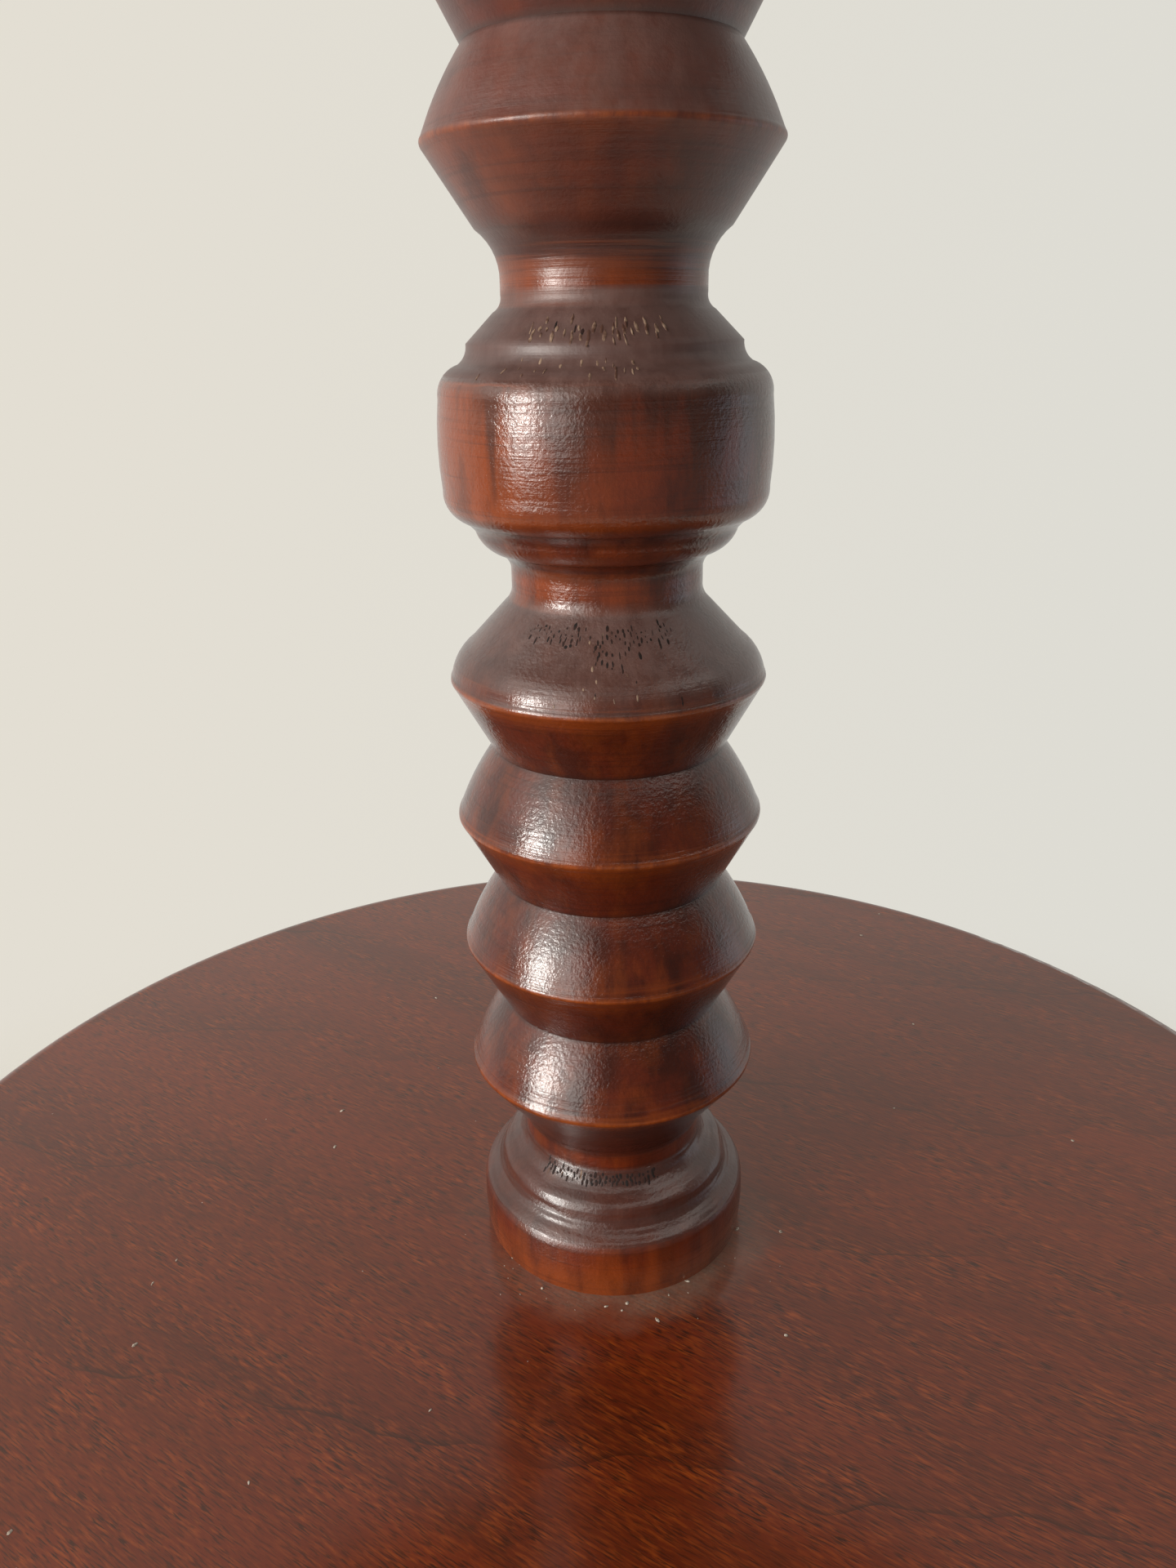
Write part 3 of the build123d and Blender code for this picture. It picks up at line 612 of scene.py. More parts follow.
def link_object(name: str, data: Any) -> bpy.types.Object:
    """Makes an object from its data, links it to the scene and returns it."""
    made = bpy.data.objects.new(name, data)
    bpy.context.scene.collection.objects.link(made)
    return made


def new_piece(name: str, mesh: Mesh, body: str, slot: str, *replaced: str) -> None:
    """Links a finished mesh as a piece that rides on a body.

    Args:
        name: The piece's name.
        mesh: Its mesh, in the row frame.
        body: The CAD body that it moves with.
        slot: The record's material slot; not used.
        *replaced: CAD nodes that it stands for.
    """
    piece = link_object(name, mesh)
    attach(piece, body)
    if replaced:
        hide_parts(*replaced)
    log.info("%s: %d faces on %s", name, len(mesh.polygons), body)


def set_attribute(mesh: Mesh, name: str, values: Array) -> None:
    """Gives a mesh's points an attribute, of one number or of three."""
    kind, field = ("FLOAT", "value") if values.ndim == 1 else ("FLOAT_VECTOR", "vector")
    layer = mesh.attributes.new(name, kind, "POINT")
    layer.data.foreach_set(field, values.astype(np.float32).ravel())


def start_tree(name: str, inputs: dict[str, str]) -> tuple[Tree, dict[str, Any]]:
    """Makes a Geometry Nodes tree with named inputs, a geometry and a material among them.

    Args:
        name: The tree's name.
        inputs: Name to kind of the other inputs.

    Returns:
        The tree, and input name to socket.
    """
    tree = bpy.data.node_groups.new(name, "GeometryNodeTree")
    tree.interface.new_socket("Geometry", in_out="INPUT", socket_type="NodeSocketGeometry")
    tree.interface.new_socket("Geometry", in_out="OUTPUT", socket_type="NodeSocketGeometry")
    for title, kind in (inputs | {"Material": "Material"}).items():
        tree.interface.new_socket(title, in_out="INPUT", socket_type="NodeSocket" + kind)
    given = tree.nodes.new("NodeGroupInput").outputs
    return tree, {title: given[title] for title in ("Geometry", "Material", *inputs)}


def end_tree(tree: Tree, instances: Any, material: Any) -> None:
    """Ends a tree in Realize Instances and Set Material."""
    real = add(tree, "GeometryNodeRealizeInstances", {"Geometry": instances})
    dressed = add(tree, "GeometryNodeSetMaterial", {"Geometry": real, "Material": material})
    add(tree, "NodeGroupOutput", {"Geometry": dressed})


def named(tree: Tree, name: str, kind: str = "FLOAT_VECTOR") -> Any:
    """Adds a node that reads an attribute of the geometry, and returns its value."""
    return add(tree, "GeometryNodeInputNamedAttribute", {"Name": name}, data_type=kind)


def face(tree: Tree, normal: Any) -> Any:
    """Adds a rotation that takes Z to a normal and X towards the "lay" attribute."""
    kind = "FunctionNodeAlignRotationToVector"
    turn = add(tree, kind, {"Vector": normal}, axis="Z")
    return add(tree, kind, {"Rotation": turn, "Vector": named(tree, "lay")}, axis="X", pivot_axis="Z")


def grow(tree: Tree, base: Mesh, values: dict[str, Any]) -> Mesh:
    """Runs a tree on a mesh and returns the result as a plain mesh.

    Args:
        tree: The Geometry Nodes tree.
        base: The mesh that it starts from.
        values: Input name to value.

    Returns:
        The evaluated mesh.
    """
    holder = link_object(tree.name, base)
    modifier = holder.modifiers.new(tree.name, "NODES")
    modifier.node_group = tree
    for item in tree.interface.items_tree:
        if item.item_type == "SOCKET" and item.in_out == "INPUT" and item.name in values:
            modifier[item.identifier] = values[item.name]
    graph = bpy.context.evaluated_depsgraph_get()
    mesh = bpy.data.meshes.new_from_object(holder.evaluated_get(graph), depsgraph=graph)
    holder.modifiers.remove(modifier)
    bpy.data.objects.remove(holder)
    return mesh


@dataclass(frozen=True)
class Strewing:
    """How slivers or grains are strewn over a surface, with lengths in millimetres.

    Their sizes are length, width and thickness. The density is per square metre where the surface's
    "density" attribute is 1, and no two lie closer than the spacing.
    """

    density: float
    spacing: float
    smallest: Size
    largest: Size
    seed: int

    def strew(self, tree: Tree, base: Mesh, material: Material) -> Mesh:
        """Strews them over a mesh.

        Args:
            tree: The tree from scatter_tree.
            base: Mesh with the attributes that the tree reads.
            material: Their material.

        Returns:
            The strewn pieces as one mesh.
        """
        values = {
            "Density": self.density,
            "Spacing": self.spacing * MM,
            "Smallest": [size * MM for size in self.smallest],
            "Largest": [size * MM for size in self.largest],
            "Seed": self.seed,
            "Material": material,
        }
        return grow(tree, base, values)


def scatter_tree(name: str, stray: float = 0.14) -> Tree:
    """Tree that strews slivers over a surface, where its "density" attribute says.

    Each sliver lies along the surface's "lay" attribute, and is as large as its "size" attribute says.

    Args:
        name: The tree's name.
        stray: How far a sliver turns away from the lay at most, in radians.

    Returns:
        The tree. Its named inputs are Density, Spacing, Smallest, Largest, Seed and Material.
    """
    kinds = ("Float", "Float", "Vector", "Vector", "Int")
    inputs = dict(zip(("Density", "Spacing", "Smallest", "Largest", "Seed"), kinds))
    tree, given = start_tree(name, inputs)
    spread = {
        "Mesh": given["Geometry"],
        "Distance Min": given["Spacing"],
        "Density Max": given["Density"],
        "Density Factor": named(tree, "density", "FLOAT"),
        "Seed": given["Seed"],
    }
    points = add(tree, "GeometryNodeDistributePointsOnFaces", spread, distribute_method="POISSON")
    turns = {2: -stray, 3: stray, "Seed": given["Seed"]}
    angle = add(tree, "FunctionNodeRandomValue", turns, out=1, data_type="FLOAT")
    turn = add(tree, "FunctionNodeAxisAngleToRotation", {"Axis": (0.0, 0.0, 1.0), "Angle": angle})
    lay = {"Rotation": face(tree, points.node.outputs["Normal"]), "Rotate By": turn}
    rotation = add(tree, "FunctionNodeRotateRotation", lay, rotation_space="LOCAL")
    sizes = {0: given["Smallest"], 1: given["Largest"], "Seed": given["Seed"]}
    size = add(tree, "FunctionNodeRandomValue", sizes, data_type="FLOAT_VECTOR")
    larger = {0: size, "Scale": named(tree, "size", "FLOAT")}
    size = add(tree, "ShaderNodeVectorMath", larger, operation="SCALE")
    sliver = add(tree, "GeometryNodeMeshIcoSphere", {"Radius": 1.0, "Subdivisions": 1})
    placed = {"Points": points, "Instance": sliver, "Rotation": rotation, "Scale": size}
    end_tree(tree, add(tree, "GeometryNodeInstanceOnPoints", placed), given["Material"])
    return tree


def screw_tree(head_corners: int = 48, shank_corners: int = 24, tip: float = 0.3) -> Tree:
    """Tree that sets a slotted countersunk screw on each point, with its head along the "way" attribute.

    Args:
        head_corners: Corners round a head.
        shank_corners: Corners round a shank.
        tip: Radius of a screw's tip in millimetres.

    Returns:
        The tree. Its named inputs are Head, Shank, Rise, Length, Slot, Depth and Material.
    """
    inputs = dict.fromkeys(("Head", "Shank", "Rise", "Length", "Slot", "Depth"), "Float")
    tree, given = start_tree("slotted_screws", inputs)
    head_foot = calc(tree, "MULTIPLY", given["Rise"], -1.0)
    shank_foot = calc(tree, "SUBTRACT", head_foot, given["Length"])
    cones = []
    for corners, top, bottom, rise, foot in (
        (head_corners, given["Head"], given["Shank"], given["Rise"], head_foot),
        (shank_corners, given["Shank"], tip * MM, given["Length"], shank_foot),
    ):
        shape = {"Vertices": corners, "Radius Top": top, "Radius Bottom": bottom, "Depth": rise}
        cone = add(tree, "GeometryNodeMeshCone", shape)
        seat = add(tree, "ShaderNodeCombineXYZ", {"Z": foot})
        cones.append(add(tree, "GeometryNodeTransform", {"Geometry": cone, "Translation": seat}))
    head, shank = cones
    slot = {
        "X": calc(tree, "MULTIPLY", given["Head"], 3.0),
        "Y": given["Slot"],
        "Z": calc(tree, "MULTIPLY", given["Depth"], 2.0),
    }
    cutter = add(tree, "GeometryNodeMeshCube", {"Size": add(tree, "ShaderNodeCombineXYZ", slot)})
    cut = {"Mesh 1": head, "Mesh 2": cutter}
    head = add(tree, "GeometryNodeMeshBoolean", cut, operation="DIFFERENCE", solver="EXACT")
    whole = add(tree, "GeometryNodeJoinGeometry", {"Geometry": head})
    tree.links.new(shank, whole.node.inputs["Geometry"])
    points = add(tree, "GeometryNodeMeshToPoints", {"Mesh": given["Geometry"]})
    placed = {"Points": points, "Instance": whole, "Rotation": face(tree, named(tree, "way"))}
    end_tree(tree, add(tree, "GeometryNodeInstanceOnPoints", placed), given["Material"])
    return tree


@dataclass(frozen=True)
class TornBand:
    """A stretch of the column where the gouge tore fibres out.

    Heights are millimetres above the shelf, and angles are degrees to the right of the front. Pale
    slivers stand up, and dark pits are left where they came out; the pits and the darker band round
    them are partly stain in the torn grain and partly painted shade. A band without clumps is torn evenly.
    """

    low: float
    high: float
    left: float
    right: float
    pale: float
    dark: float
    size: float
    clumps: int = 0
    clump_turn: float = 2.6
    clump_rise: float = 1.1
    clump_edge: float = 0.08
    edge_turn: float = 6.0
    edge_rise: float = 0.3

    def weigh(self, height: Array, angle: Array) -> Array:
        """Works out how torn each point is, here and on the opposite side of the wood.

        Args:
            height: Millimetres above the shelf.
            angle: Degrees to the right of the front.

        Returns:
            A share from 0 to 1 for each point.
        """
        middle, half = (self.left + self.right) / 2, (self.right - self.left) / 2
        if not self.clumps:
            across = np.abs((angle - middle + 90) % 180 - 90)
            inside = np.clip(np.minimum(height - self.low, self.high - height) / self.edge_rise, 0, 1)
            return inside * np.clip((half - across) / self.edge_turn, 0, 1)
        chance = np.random.default_rng(round(10 * self.low))
        share = np.zeros_like(height)
        for _ in range(self.clumps):
            turn = chance.triangular(self.left, middle, self.right)
            rise = chance.uniform(self.low, self.high)
            across = ((angle - turn + 90) % 180 - 90) / self.clump_turn
            share = np.maximum(share, np.exp(-(across**2) - ((height - rise) / self.clump_rise) ** 2))
        return np.where(share > self.clump_edge, share, 0.0)


def ring_grid(heights: Array, radius: Array, angles: Array) -> tuple[Array, Array]:
    """Makes rings of points about Z, and the faces between them.

    Args:
        heights: Height of each ring.
        radius: Radius by ring and by angle.
        angles: The points' angles from X, in radians.

    Returns:
        Rows of points and rows of faces.
    """
    upright = heights[:, None] * np.ones_like(radius)
    points = np.stack((radius * np.cos(angles), radius * np.sin(angles), upright), axis=2)
    count = len(angles)
    ring = np.arange(len(heights) - 1)[:, None] * count
    here, beside = ring + np.arange(count), ring + (np.arange(count) + 1) % count
    faces = np.stack((here, beside, beside + count, here + count), axis=2)
    return points.reshape(-1, 3), faces.reshape(-1, 4)


def run_along(profile: Array) -> Array:
    """Length along an outline up to each of its points."""
    return np.concatenate(([0], np.cumsum(np.hypot(*np.diff(profile, axis=0).T))))


@dataclass(frozen=True)
class TurnedColumn:
    """The upper column as a fine lathe mesh on the CAD profile, with its torn fibres.

    Heights are millimetres above the shelf, and angles are degrees to the right of the front. A span is
    a stretch of heights, and a curve gives shares by height or by angle.
    """

    node: str = "upper_column"
    wedge: str = "tenon_wedge"
    segments: int = 180
    ring_spacing: float = 1.35
    sample: float = 0.2
    sharp: float = 50.0
    seed: int = 11

    # Where the outline bends, and how uneven it is there
    ridge_reach: float = 0.7
    ridge_bend: float = 62.0
    ridge_radius: float = 28.0
    ridge_fall: float = 1.5
    ridge_wobble: float = 0.1
    # Reach of the painted warm light under each ridge
    painted_glow_reach: float = 3.2
    # Reach of the darkening in grooves, partly stain and partly painted shade
    groove_reach: float = 0.7
    groove_bend: float = 55.0
    foot_wobble: float = 0.14
    wobble_waves: tuple[int, int] = (3, 34)
    wobble_rings: int = 8

    # Stretches of the column
    foot_rise: float = 28.0
    foot_dome: Span = (12.5, 25.0)
    soft_foot: Span = (10.3, 24.4)
    foot_softness: float = 0.8
    drum: Span = (161.0, 183.0)
    shoulder: Span = (183.5, 197.0)
    fine_lines: Span = (197.0, 205.0)
    neck_radius: float = 18.6
    upright_lean: float = 0.2
    upright_scored: float = 0.3
    facing_gain: float = 1.8

    # Shares by height
    # Share of the faces that look up that is darkened and bloomed, by height: end grain, painted shade and
    # painted reflection
    facing_up_rise: Curve = ((118.0, 0.5), (128.0, 1.0), (200.0, 1.0), (210.0, 0.15))
    dome_facing_up: float = 0.85
    # Painted shade on the faces that look down, stronger towards the low beads
    low_shade: Curve = ((50.0, 2.4), (90.0, 1.0))
    # Painted shade under the top bead
    cone_shade: Curve = ((197.0, 0.0), (200.0, 1.5), (204.0, 1.2), (211.0, 0.0))
    # Bloom and painted reflection on the faces that look up, by height
    bloom_and_sheen_rise: Curve = ((28.0, 0.28), (30.0, 0.0), (118.0, 0.0), (140.0, 1.0), (205.0, 1.0), (215.0, 7.0))
    fresh: Curve = ((200.0, 1.0), (215.0, 0.3))
    # Painted glow, orange and strongest at the bottom of the foot's side
    foot_painted_glow: Curve = ((2.5, 1.2), (9.5, 0.0))
    neck_bare: float = 0.6
    drum_bare: float = 0.3
    # Heights of a painted lit patch on the left of the top bead
    painted_light_cone_rise: Curve = ((203.0, 0.0), (210.0, 1.0), (218.0, 1.0), (221.0, 0.0))
    drum_bleed: Curve = ((162.0, 0.38), (184.0, 0.74))
    foot_level: Curve = ((7.0, 0.2), (12.0, 0.4), (26.0, 0.4), (30.0, 0.0))
    drum_level: float = 0.08
    cone_level: Curve = ((194.0, 0.0), (202.0, 0.8))

    # Shares by distance from a ridge, and by angle
    near_ridge: Curve = ((1.2, 1.0), (7.2, 0.0))
    # Painted light: the orange shows more on the lit left side and less on the right
    painted_light_side: Curve = ((-40.0, 1.3), (45.0, 0.3))
    bare_rear: Curve = ((90.0, 1.0), (150.0, 2.5))
    # Bloom and painted reflection by angle, less on the lit left side
    bloom_and_sheen_side: Curve = ((-60.0, 0.5), (0.0, 0.95), (40.0, 1.1))
    # Painted light: the drips are weaker on the lit left side
    bleed_side: Curve = ((-60.0, 0.72), (-5.0, 1.0), (60.0, 0.95))
    # A painted lit patch on the left of the drum and the top bead, where the window light falls
    painted_light_turn: float = -50.0
    painted_light_reach: float = 24.0
    painted_light_drum: float = 1.25
    painted_light_cone_share: float = 0.5

    # Split end of the upper tenon, and torn fibres
    kerf_gap: float = 0.05
    tenon_steps: int = 49
    torn: tuple[TornBand, ...] = (
        TornBand(189.4, 192.6, -40, 30, 1.0, 0.03, 1.6),
        TornBand(184.2, 187.2, -48, 16, 0.4, 0.02, 1.2),
        TornBand(140.2, 142.0, -44, 36, 0.06, 0.9, 0.9),
        TornBand(136.8, 140.8, -18, 14, 0.12, 0.9, 1.1, 16, 2.2, 1.2),
        TornBand(130.0, 136.0, -40, 30, 0.25, 0.12, 0.8, 14),
        TornBand(21.6, 24.2, -48, 30, 0.05, 0.9, 1.5),
    )
    slivers: Strewing = Strewing(8e6, 1.25, (0.3, 0.1, 0.04), (1.0, 0.24, 0.1), 11)
    pits: Strewing = Strewing(8e6, 0.8, (0.2, 0.1, 0.02), (0.8, 0.26, 0.05), 11)

    def read_profile(self) -> tuple[Array, Span]:
        """Reads the turned outline from the CAD node, between the shelf and the block.

        Returns:
            Rows of height and radius, upwards, and the radii of the lower and upper tenon, in metres.
        """
        low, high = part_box("shelf")[1].z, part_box("pivot_block")[0].z
        points = node_points(self.node)
        rows = np.column_stack((np.round(points[:, 2], 6), np.hypot(points[:, 0], points[:, 1])))
        tenons = rows[rows[:, 0] < low - MM, 1].max(), rows[rows[:, 0] > high + MM, 1].max()
        rows = rows[within(rows[:, 0], (low - 0.01 * MM, high + 0.01 * MM))]
        profile = np.array([(z, rows[rows[:, 0] == z, 1].max()) for z in np.unique(rows[:, 0])])
        return self.soften(profile), tenons

    def soften(self, profile: Array) -> Array:
        """Rounds the rings of the foot off, as the thick stain has.

        Args:
            profile: Rows of height and radius.

        Returns:
            The same outline, with the foot above its side sampled finely and smoothed.
        """
        run = run_along(profile)
        ends = [height * MM for height in self.soft_foot]
        first, last = np.searchsorted(profile[:, 0] - profile[0, 0], ends)
        fine = np.arange(run[first], run[last], self.sample * MM)
        deviations = np.arange(-3, 3.01, 0.2)
        weight = np.exp(-0.5 * deviations**2)
        weight /= weight.sum()
        near = fine[:, None] + deviations * self.foot_softness * MM
        z, r = (np.interp(near, run, column) @ weight for column in profile.T)
        inner = np.column_stack((np.maximum.accumulate(z), r))
        inner = inner[within(inner[:, 0], (profile[first - 1, 0], profile[last, 0]))]
        return np.vstack((profile[:first], inner, profile[last:]))

    def measure(self, profile: Array) -> dict[str, Array]:
        """Works out ridges, grooves and the way that the outline faces.

        Args:
            profile: Rows of height and radius.

        Returns:
            Finely sampled columns: z, lean, drum, foot, and the marks of the mesh apart from torn.
        """
        run = run_along(profile)
        fine = np.arange(0, run[-1], self.sample * MM)
        z, r = (np.interp(fine, run, column) for column in profile.T)
        lean = np.arctan2(np.gradient(r), np.gradient(z))

        def bend(reach: float, most: float) -> Array:
            """Share of this bend, in degrees, that the outline turns by within a reach, convex positive."""
            count = max(1, round(reach / self.sample))
            padded = np.pad(lean, count, mode="edge")
            return np.clip(np.degrees(padded[: len(lean)] - padded[2 * count :]) / most, 0, 1)

        height = (z - z[0]) / MM
        beaded = height > self.foot_rise
        dome, drum, shoulder = (within(height, span) for span in (self.foot_dome, self.drum, self.shoulder))
        neck = (r < self.neck_radius * MM) & beaded
        upright = (np.abs(lean) < self.upright_lean) & beaded
        ridge = bend(self.ridge_reach, self.ridge_bend) * (r > self.ridge_radius * MM)
        tops = fine[(ridge > 0.5) & beaded]
        from_ridge = np.abs(fine[:, None] - tops[None, :]).min(axis=1) / MM
        up, down = (np.clip(way * self.facing_gain * np.sin(lean), 0, 1) for way in (-1, 1))
        facing_up = np.maximum(up * follow(self.facing_up_rise, height), self.dome_facing_up * (dome | shoulder))
        shade = follow(self.low_shade, height)
        # Painted shade on the faces that look down
        facing_down = down * shade + follow(self.cone_shade, height)
        fresh = beaded * follow(self.fresh, height)
        even_scores = self.upright_scored * upright + within(height, self.fine_lines)
        level = self.drum_level * drum + shoulder + follow(self.foot_level, height)
        return {
            "z": z,
            "lean": lean,
            "drum": drum * 1.0,
            "foot": dome * 1.0,
            "ridge": beaded * ridge**self.ridge_fall,
            # Painted light on the rounding under each ridge
            "glow": fresh * facing_down / shade**2 * bend(self.painted_glow_reach, self.ridge_bend),
            "groove": bend(self.groove_reach, -self.groove_bend),
            "facing_up": facing_up,
            "facing_down": facing_down,
            "bare": np.maximum(follow(self.foot_painted_glow, height), self.neck_bare * neck + self.drum_bare * drum),
            # Bloom and painted reflection on the faces that look up
            "bloom": facing_up * follow(self.bloom_and_sheen_rise, height),
            "scored": np.maximum(fresh * follow(self.near_ridge, from_ridge), even_scores),
            "bleed": drum * follow(self.drum_bleed, height),
            "level": np.maximum(level, follow(self.cone_level, height)),
        }

    def rings(self, profile: Array) -> Array:
        """Heights of the mesh's rings: the outline's own, with more where they are far apart."""
        heights = [profile[0, 0]]
        for z in profile[1:, 0]:
            parts = max(1, math.ceil((z - heights[-1]) / (self.ring_spacing * MM)))
            heights += list(np.linspace(heights[-1], z, parts + 1)[1:])
        return np.array(heights)

    def wobble(self, count: int, angles: Array) -> Array:
        """Unevenness of the ridges, by ring and by angle, about 1 at most."""
        chance = np.random.default_rng(self.seed)
        total = np.zeros((count, len(angles)))
        for wave in range(*self.wobble_waves):
            phase = chance.uniform(0, 2 * math.pi, size=count // self.wobble_rings + 2)
            phase = np.interp(np.arange(count), np.arange(len(phase)) * self.wobble_rings, phase)
            total += np.cos(wave * angles[None, :] + phase[:, None]) / wave
        return total

    def split_tenon(self, first: int, radius: float) -> tuple[list, list]:
        """The two halves of the tenon's split end, either side of the wedge.

        Args:
            first: Number of vertices that come before these.
            radius: The tenon's radius.

        Returns:
            Vertices and faces.
        """
        points = node_points(self.wedge)
        count = self.tenon_steps
        vertices, faces = [], []
        for side in (-1, 1):
            start = first + len(vertices)
            for z in (points[:, 2].min(), points[:, 2].max()):
                half = np.abs(points[np.abs(points[:, 2] - z) < 0.1 * MM, 0]).max() + self.kerf_gap * MM
                reach = math.acos(half / radius)
                arc = np.linspace(-reach, reach, count) * side
                vertices += [(side * radius * math.cos(a), side * radius * math.sin(a), z) for a in arc]
            loop = list(range(start, start + count))
            after = loop[1:] + loop[:1]
            faces += [(i, j, j + count, i + count) for i, j in zip(loop, after)]
            faces += [loop[::-1], [i + count for i in loop]]
        return vertices, faces

    def mark(self, told: dict[str, Array], height: Array, angle: Array) -> dict[str, Array]:
        """Spreads the marks over the lathe mesh's points, and varies them round the column.

        Args:
            told: Marks by ring, without the tenons' rings.
            height: Millimetres above the shelf, by point.
            angle: Degrees to the right of the front, by point.

        Returns:
            Marks by point.
        """
        marks = {name: np.repeat(np.pad(values, 2), self.segments) for name, values in told.items()}
        torn = [max(band.pale, band.dark) * band.weigh(height, angle) for band in self.torn]
        marks["torn"] = np.max(torn, axis=0)
        # Painted light: more orange on the lit left side
        beside = follow(self.painted_light_side, angle) * follow(self.bare_rear, np.abs(angle))
        marks["bare"] *= np.where(height > self.foot_rise, beside, 1.0)
        # Painted lit patch on the left of the drum and the top bead
        painted_light = np.exp(-(((angle - self.painted_light_turn) / self.painted_light_reach) ** 2))
        patches = self.painted_light_drum * marks["drum"] + self.painted_light_cone_share * follow(self.painted_light_cone_rise, height)
        marks["bare"] += painted_light * patches
        marks["bloom"] *= follow(self.bloom_and_sheen_side, angle)
        marks["bleed"] *= follow(self.bleed_side, angle)
        return marks

    def build(self, finish: Material, sliver: Material, pit: Material) -> None:
        """Makes the lathe mesh with its attributes, tenons included, and the torn fibres on it.

        Args:
            finish: The column's material.
            sliver: Material of the fibres that stand up.
            pit: Material of the holes that torn fibres left.
        """
        profile, (foot_tenon, head_tenon) = self.read_profile()
        told = self.measure(profile)
        z = self.rings(profile)
        told = {name: np.interp(z, told["z"], values) for name, values in told.items()}
        angles = np.linspace(0, 2 * math.pi, self.segments, endpoint=False)
        uneven = self.ridge_wobble * told["ridge"] + self.foot_wobble * told["foot"]
        radius = np.interp(z, *profile.T)[:, None] + uneven[:, None] * MM * self.wobble(len(z), angles)
        even = np.ones((2, self.segments))
        radius = np.vstack((foot_tenon * even, radius, head_tenon * even))
        low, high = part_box(self.node)[0].z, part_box(self.wedge)[0].z
        points, faces = ring_grid(np.concatenate(([low, z[0]], z, [z[-1], high])), radius, angles)
        loop = list(range(self.segments))
        caps = [loop[::-1], [i + len(points) - self.segments for i in loop]]
        more_points, more_faces = self.split_tenon(len(points), head_tenon)
        mesh = bpy.data.meshes.new("turned_column")
        mesh.from_pydata(points.tolist() + more_points, [], faces.tolist() + caps + more_faces)
        mesh.shade_smooth()
        mesh.set_sharp_from_angle(angle=math.radians(self.sharp))
        mesh.materials.append(finish)
        height = (points[:, 2] - z[0]) / MM
        angle = np.degrees(np.arctan2(points[:, 0], -points[:, 1]))
        marks = self.mark(told, height, angle)
        for name in TURNED_MARKS:
            set_attribute(mesh, name, np.pad(marks[name], (0, len(more_points))))
        new_piece("turned_column", mesh, "base", "stained_hardwood", self.node)
        lean, around = marks["lean"], np.tile(angles, len(points) // self.segments)
        lay = np.stack((np.sin(lean) * np.cos(around), np.sin(lean) * np.sin(around), np.cos(lean)), axis=1)
        tree = scatter_tree("torn_fibres")
        for title, side, strewing, material in (
            ("torn_slivers", "pale", self.slivers, sliver),
            ("torn_pits", "dark", self.pits, pit),
        ):
            weights = [getattr(band, side) * band.weigh(height, angle) for band in self.torn]
            sizes = np.array([band.size for band in self.torn])[np.argmax(weights, axis=0)]
            reads = {"density": np.max(weights, axis=0), "lay": lay, "size": sizes}
            patch = self.torn_patch(points, faces, reads)
            new_piece(title, strewing.strew(tree, patch, material), "base", "stained_hardwood")

    def torn_patch(self, points: Array, faces: Array, marks: dict[str, Array]) -> Mesh:
        """Cuts the torn bands out of the column's surface.

        Args:
            points: The column's vertices.
            faces: Its faces.
            marks: The attributes that the scatter tree reads, by vertex.

        Returns:
            A mesh with these attributes.
        """
        kept = faces[marks["density"][faces].max(axis=1) > 0]
        used, kept = np.unique(kept, return_inverse=True)
        patch = bpy.data.meshes.new("torn_patch")
        patch.from_pydata(points[used].tolist(), [], kept.reshape(-1, 4).tolist())
        for name, values in marks.items():
            set_attribute(patch, name, values[used])
        return patch


@dataclass(frozen=True)
class SettledDust:
    """Grains of dust that lie on the shelf, thickest in front of the column's foot.

    The near and far rings of the plate that carries them are given as first radius, last radius and count.
    """

    near_rings: tuple[float, float, int] = (27.5, 57.5, 16)
    far_rings: tuple[float, float, int] = (65.0, 172.0, 12)
    spokes: int = 96
    near_reach: float = 6.0
    near_density: float = 6e4
    far_density: float = 4e2
    rear_share: float = 0.25
    spacing: float = 0.6
    grain_sizes: tuple[Size, Size] = ((0.07, 0.05, 0.02), (0.3, 0.16, 0.06))
    crumb_share: float = 0.35
    crumb_sizes: tuple[Size, Size] = ((0.25, 0.18, 0.1), (0.8, 0.45, 0.25))
    seed: int = 23

    def build(self, dust: Material) -> None:
        """Strews the grains over a ring of the shelf.

        Args:
            dust: The grains' material.
        """
        radii = np.concatenate((np.linspace(*self.near_rings), np.linspace(*self.far_rings)))
        angles = np.linspace(0, 2 * math.pi, self.spokes, endpoint=False)
        heights = np.full(len(radii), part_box("shelf")[1].z)
        radius = radii[:, None] * MM * np.ones(self.spokes)
        points, faces = ring_grid(heights, radius, angles - math.pi / 2)
        plate = bpy.data.meshes.new("dust_plate")
        plate.from_pydata(points.tolist(), [], faces[:, ::-1].tolist())
        r, a = np.repeat(radii, self.spokes), np.tile(angles, len(radii))
        near = np.exp(-np.maximum(r - self.near_rings[0], 0) / self.near_reach)
        front = self.rear_share + (1 - self.rear_share) * np.clip(np.cos(a), 0, 1)
        most = self.near_density + self.far_density
        turn = np.random.default_rng(self.seed).uniform(0, 2 * math.pi, len(points))
        set_attribute(plate, "density", (near * front * self.near_density + self.far_density) / most)
        set_attribute(plate, "lay", np.stack((np.cos(turn), np.sin(turn), np.zeros_like(turn)), axis=1))
        set_attribute(plate, "size", np.ones(len(points)))
        tree = scatter_tree("settled_dust")
        for title, density, sizes in (
            ("settled_dust", most, self.grain_sizes),
            ("dust_crumbs", self.crumb_share * most, self.crumb_sizes),
        ):
            grains = Strewing(density, self.spacing, *sizes, self.seed).strew(tree, plate.copy(), dust)
            grains.shade_smooth()
            new_piece(title, grains, "base", "mahogany_board")


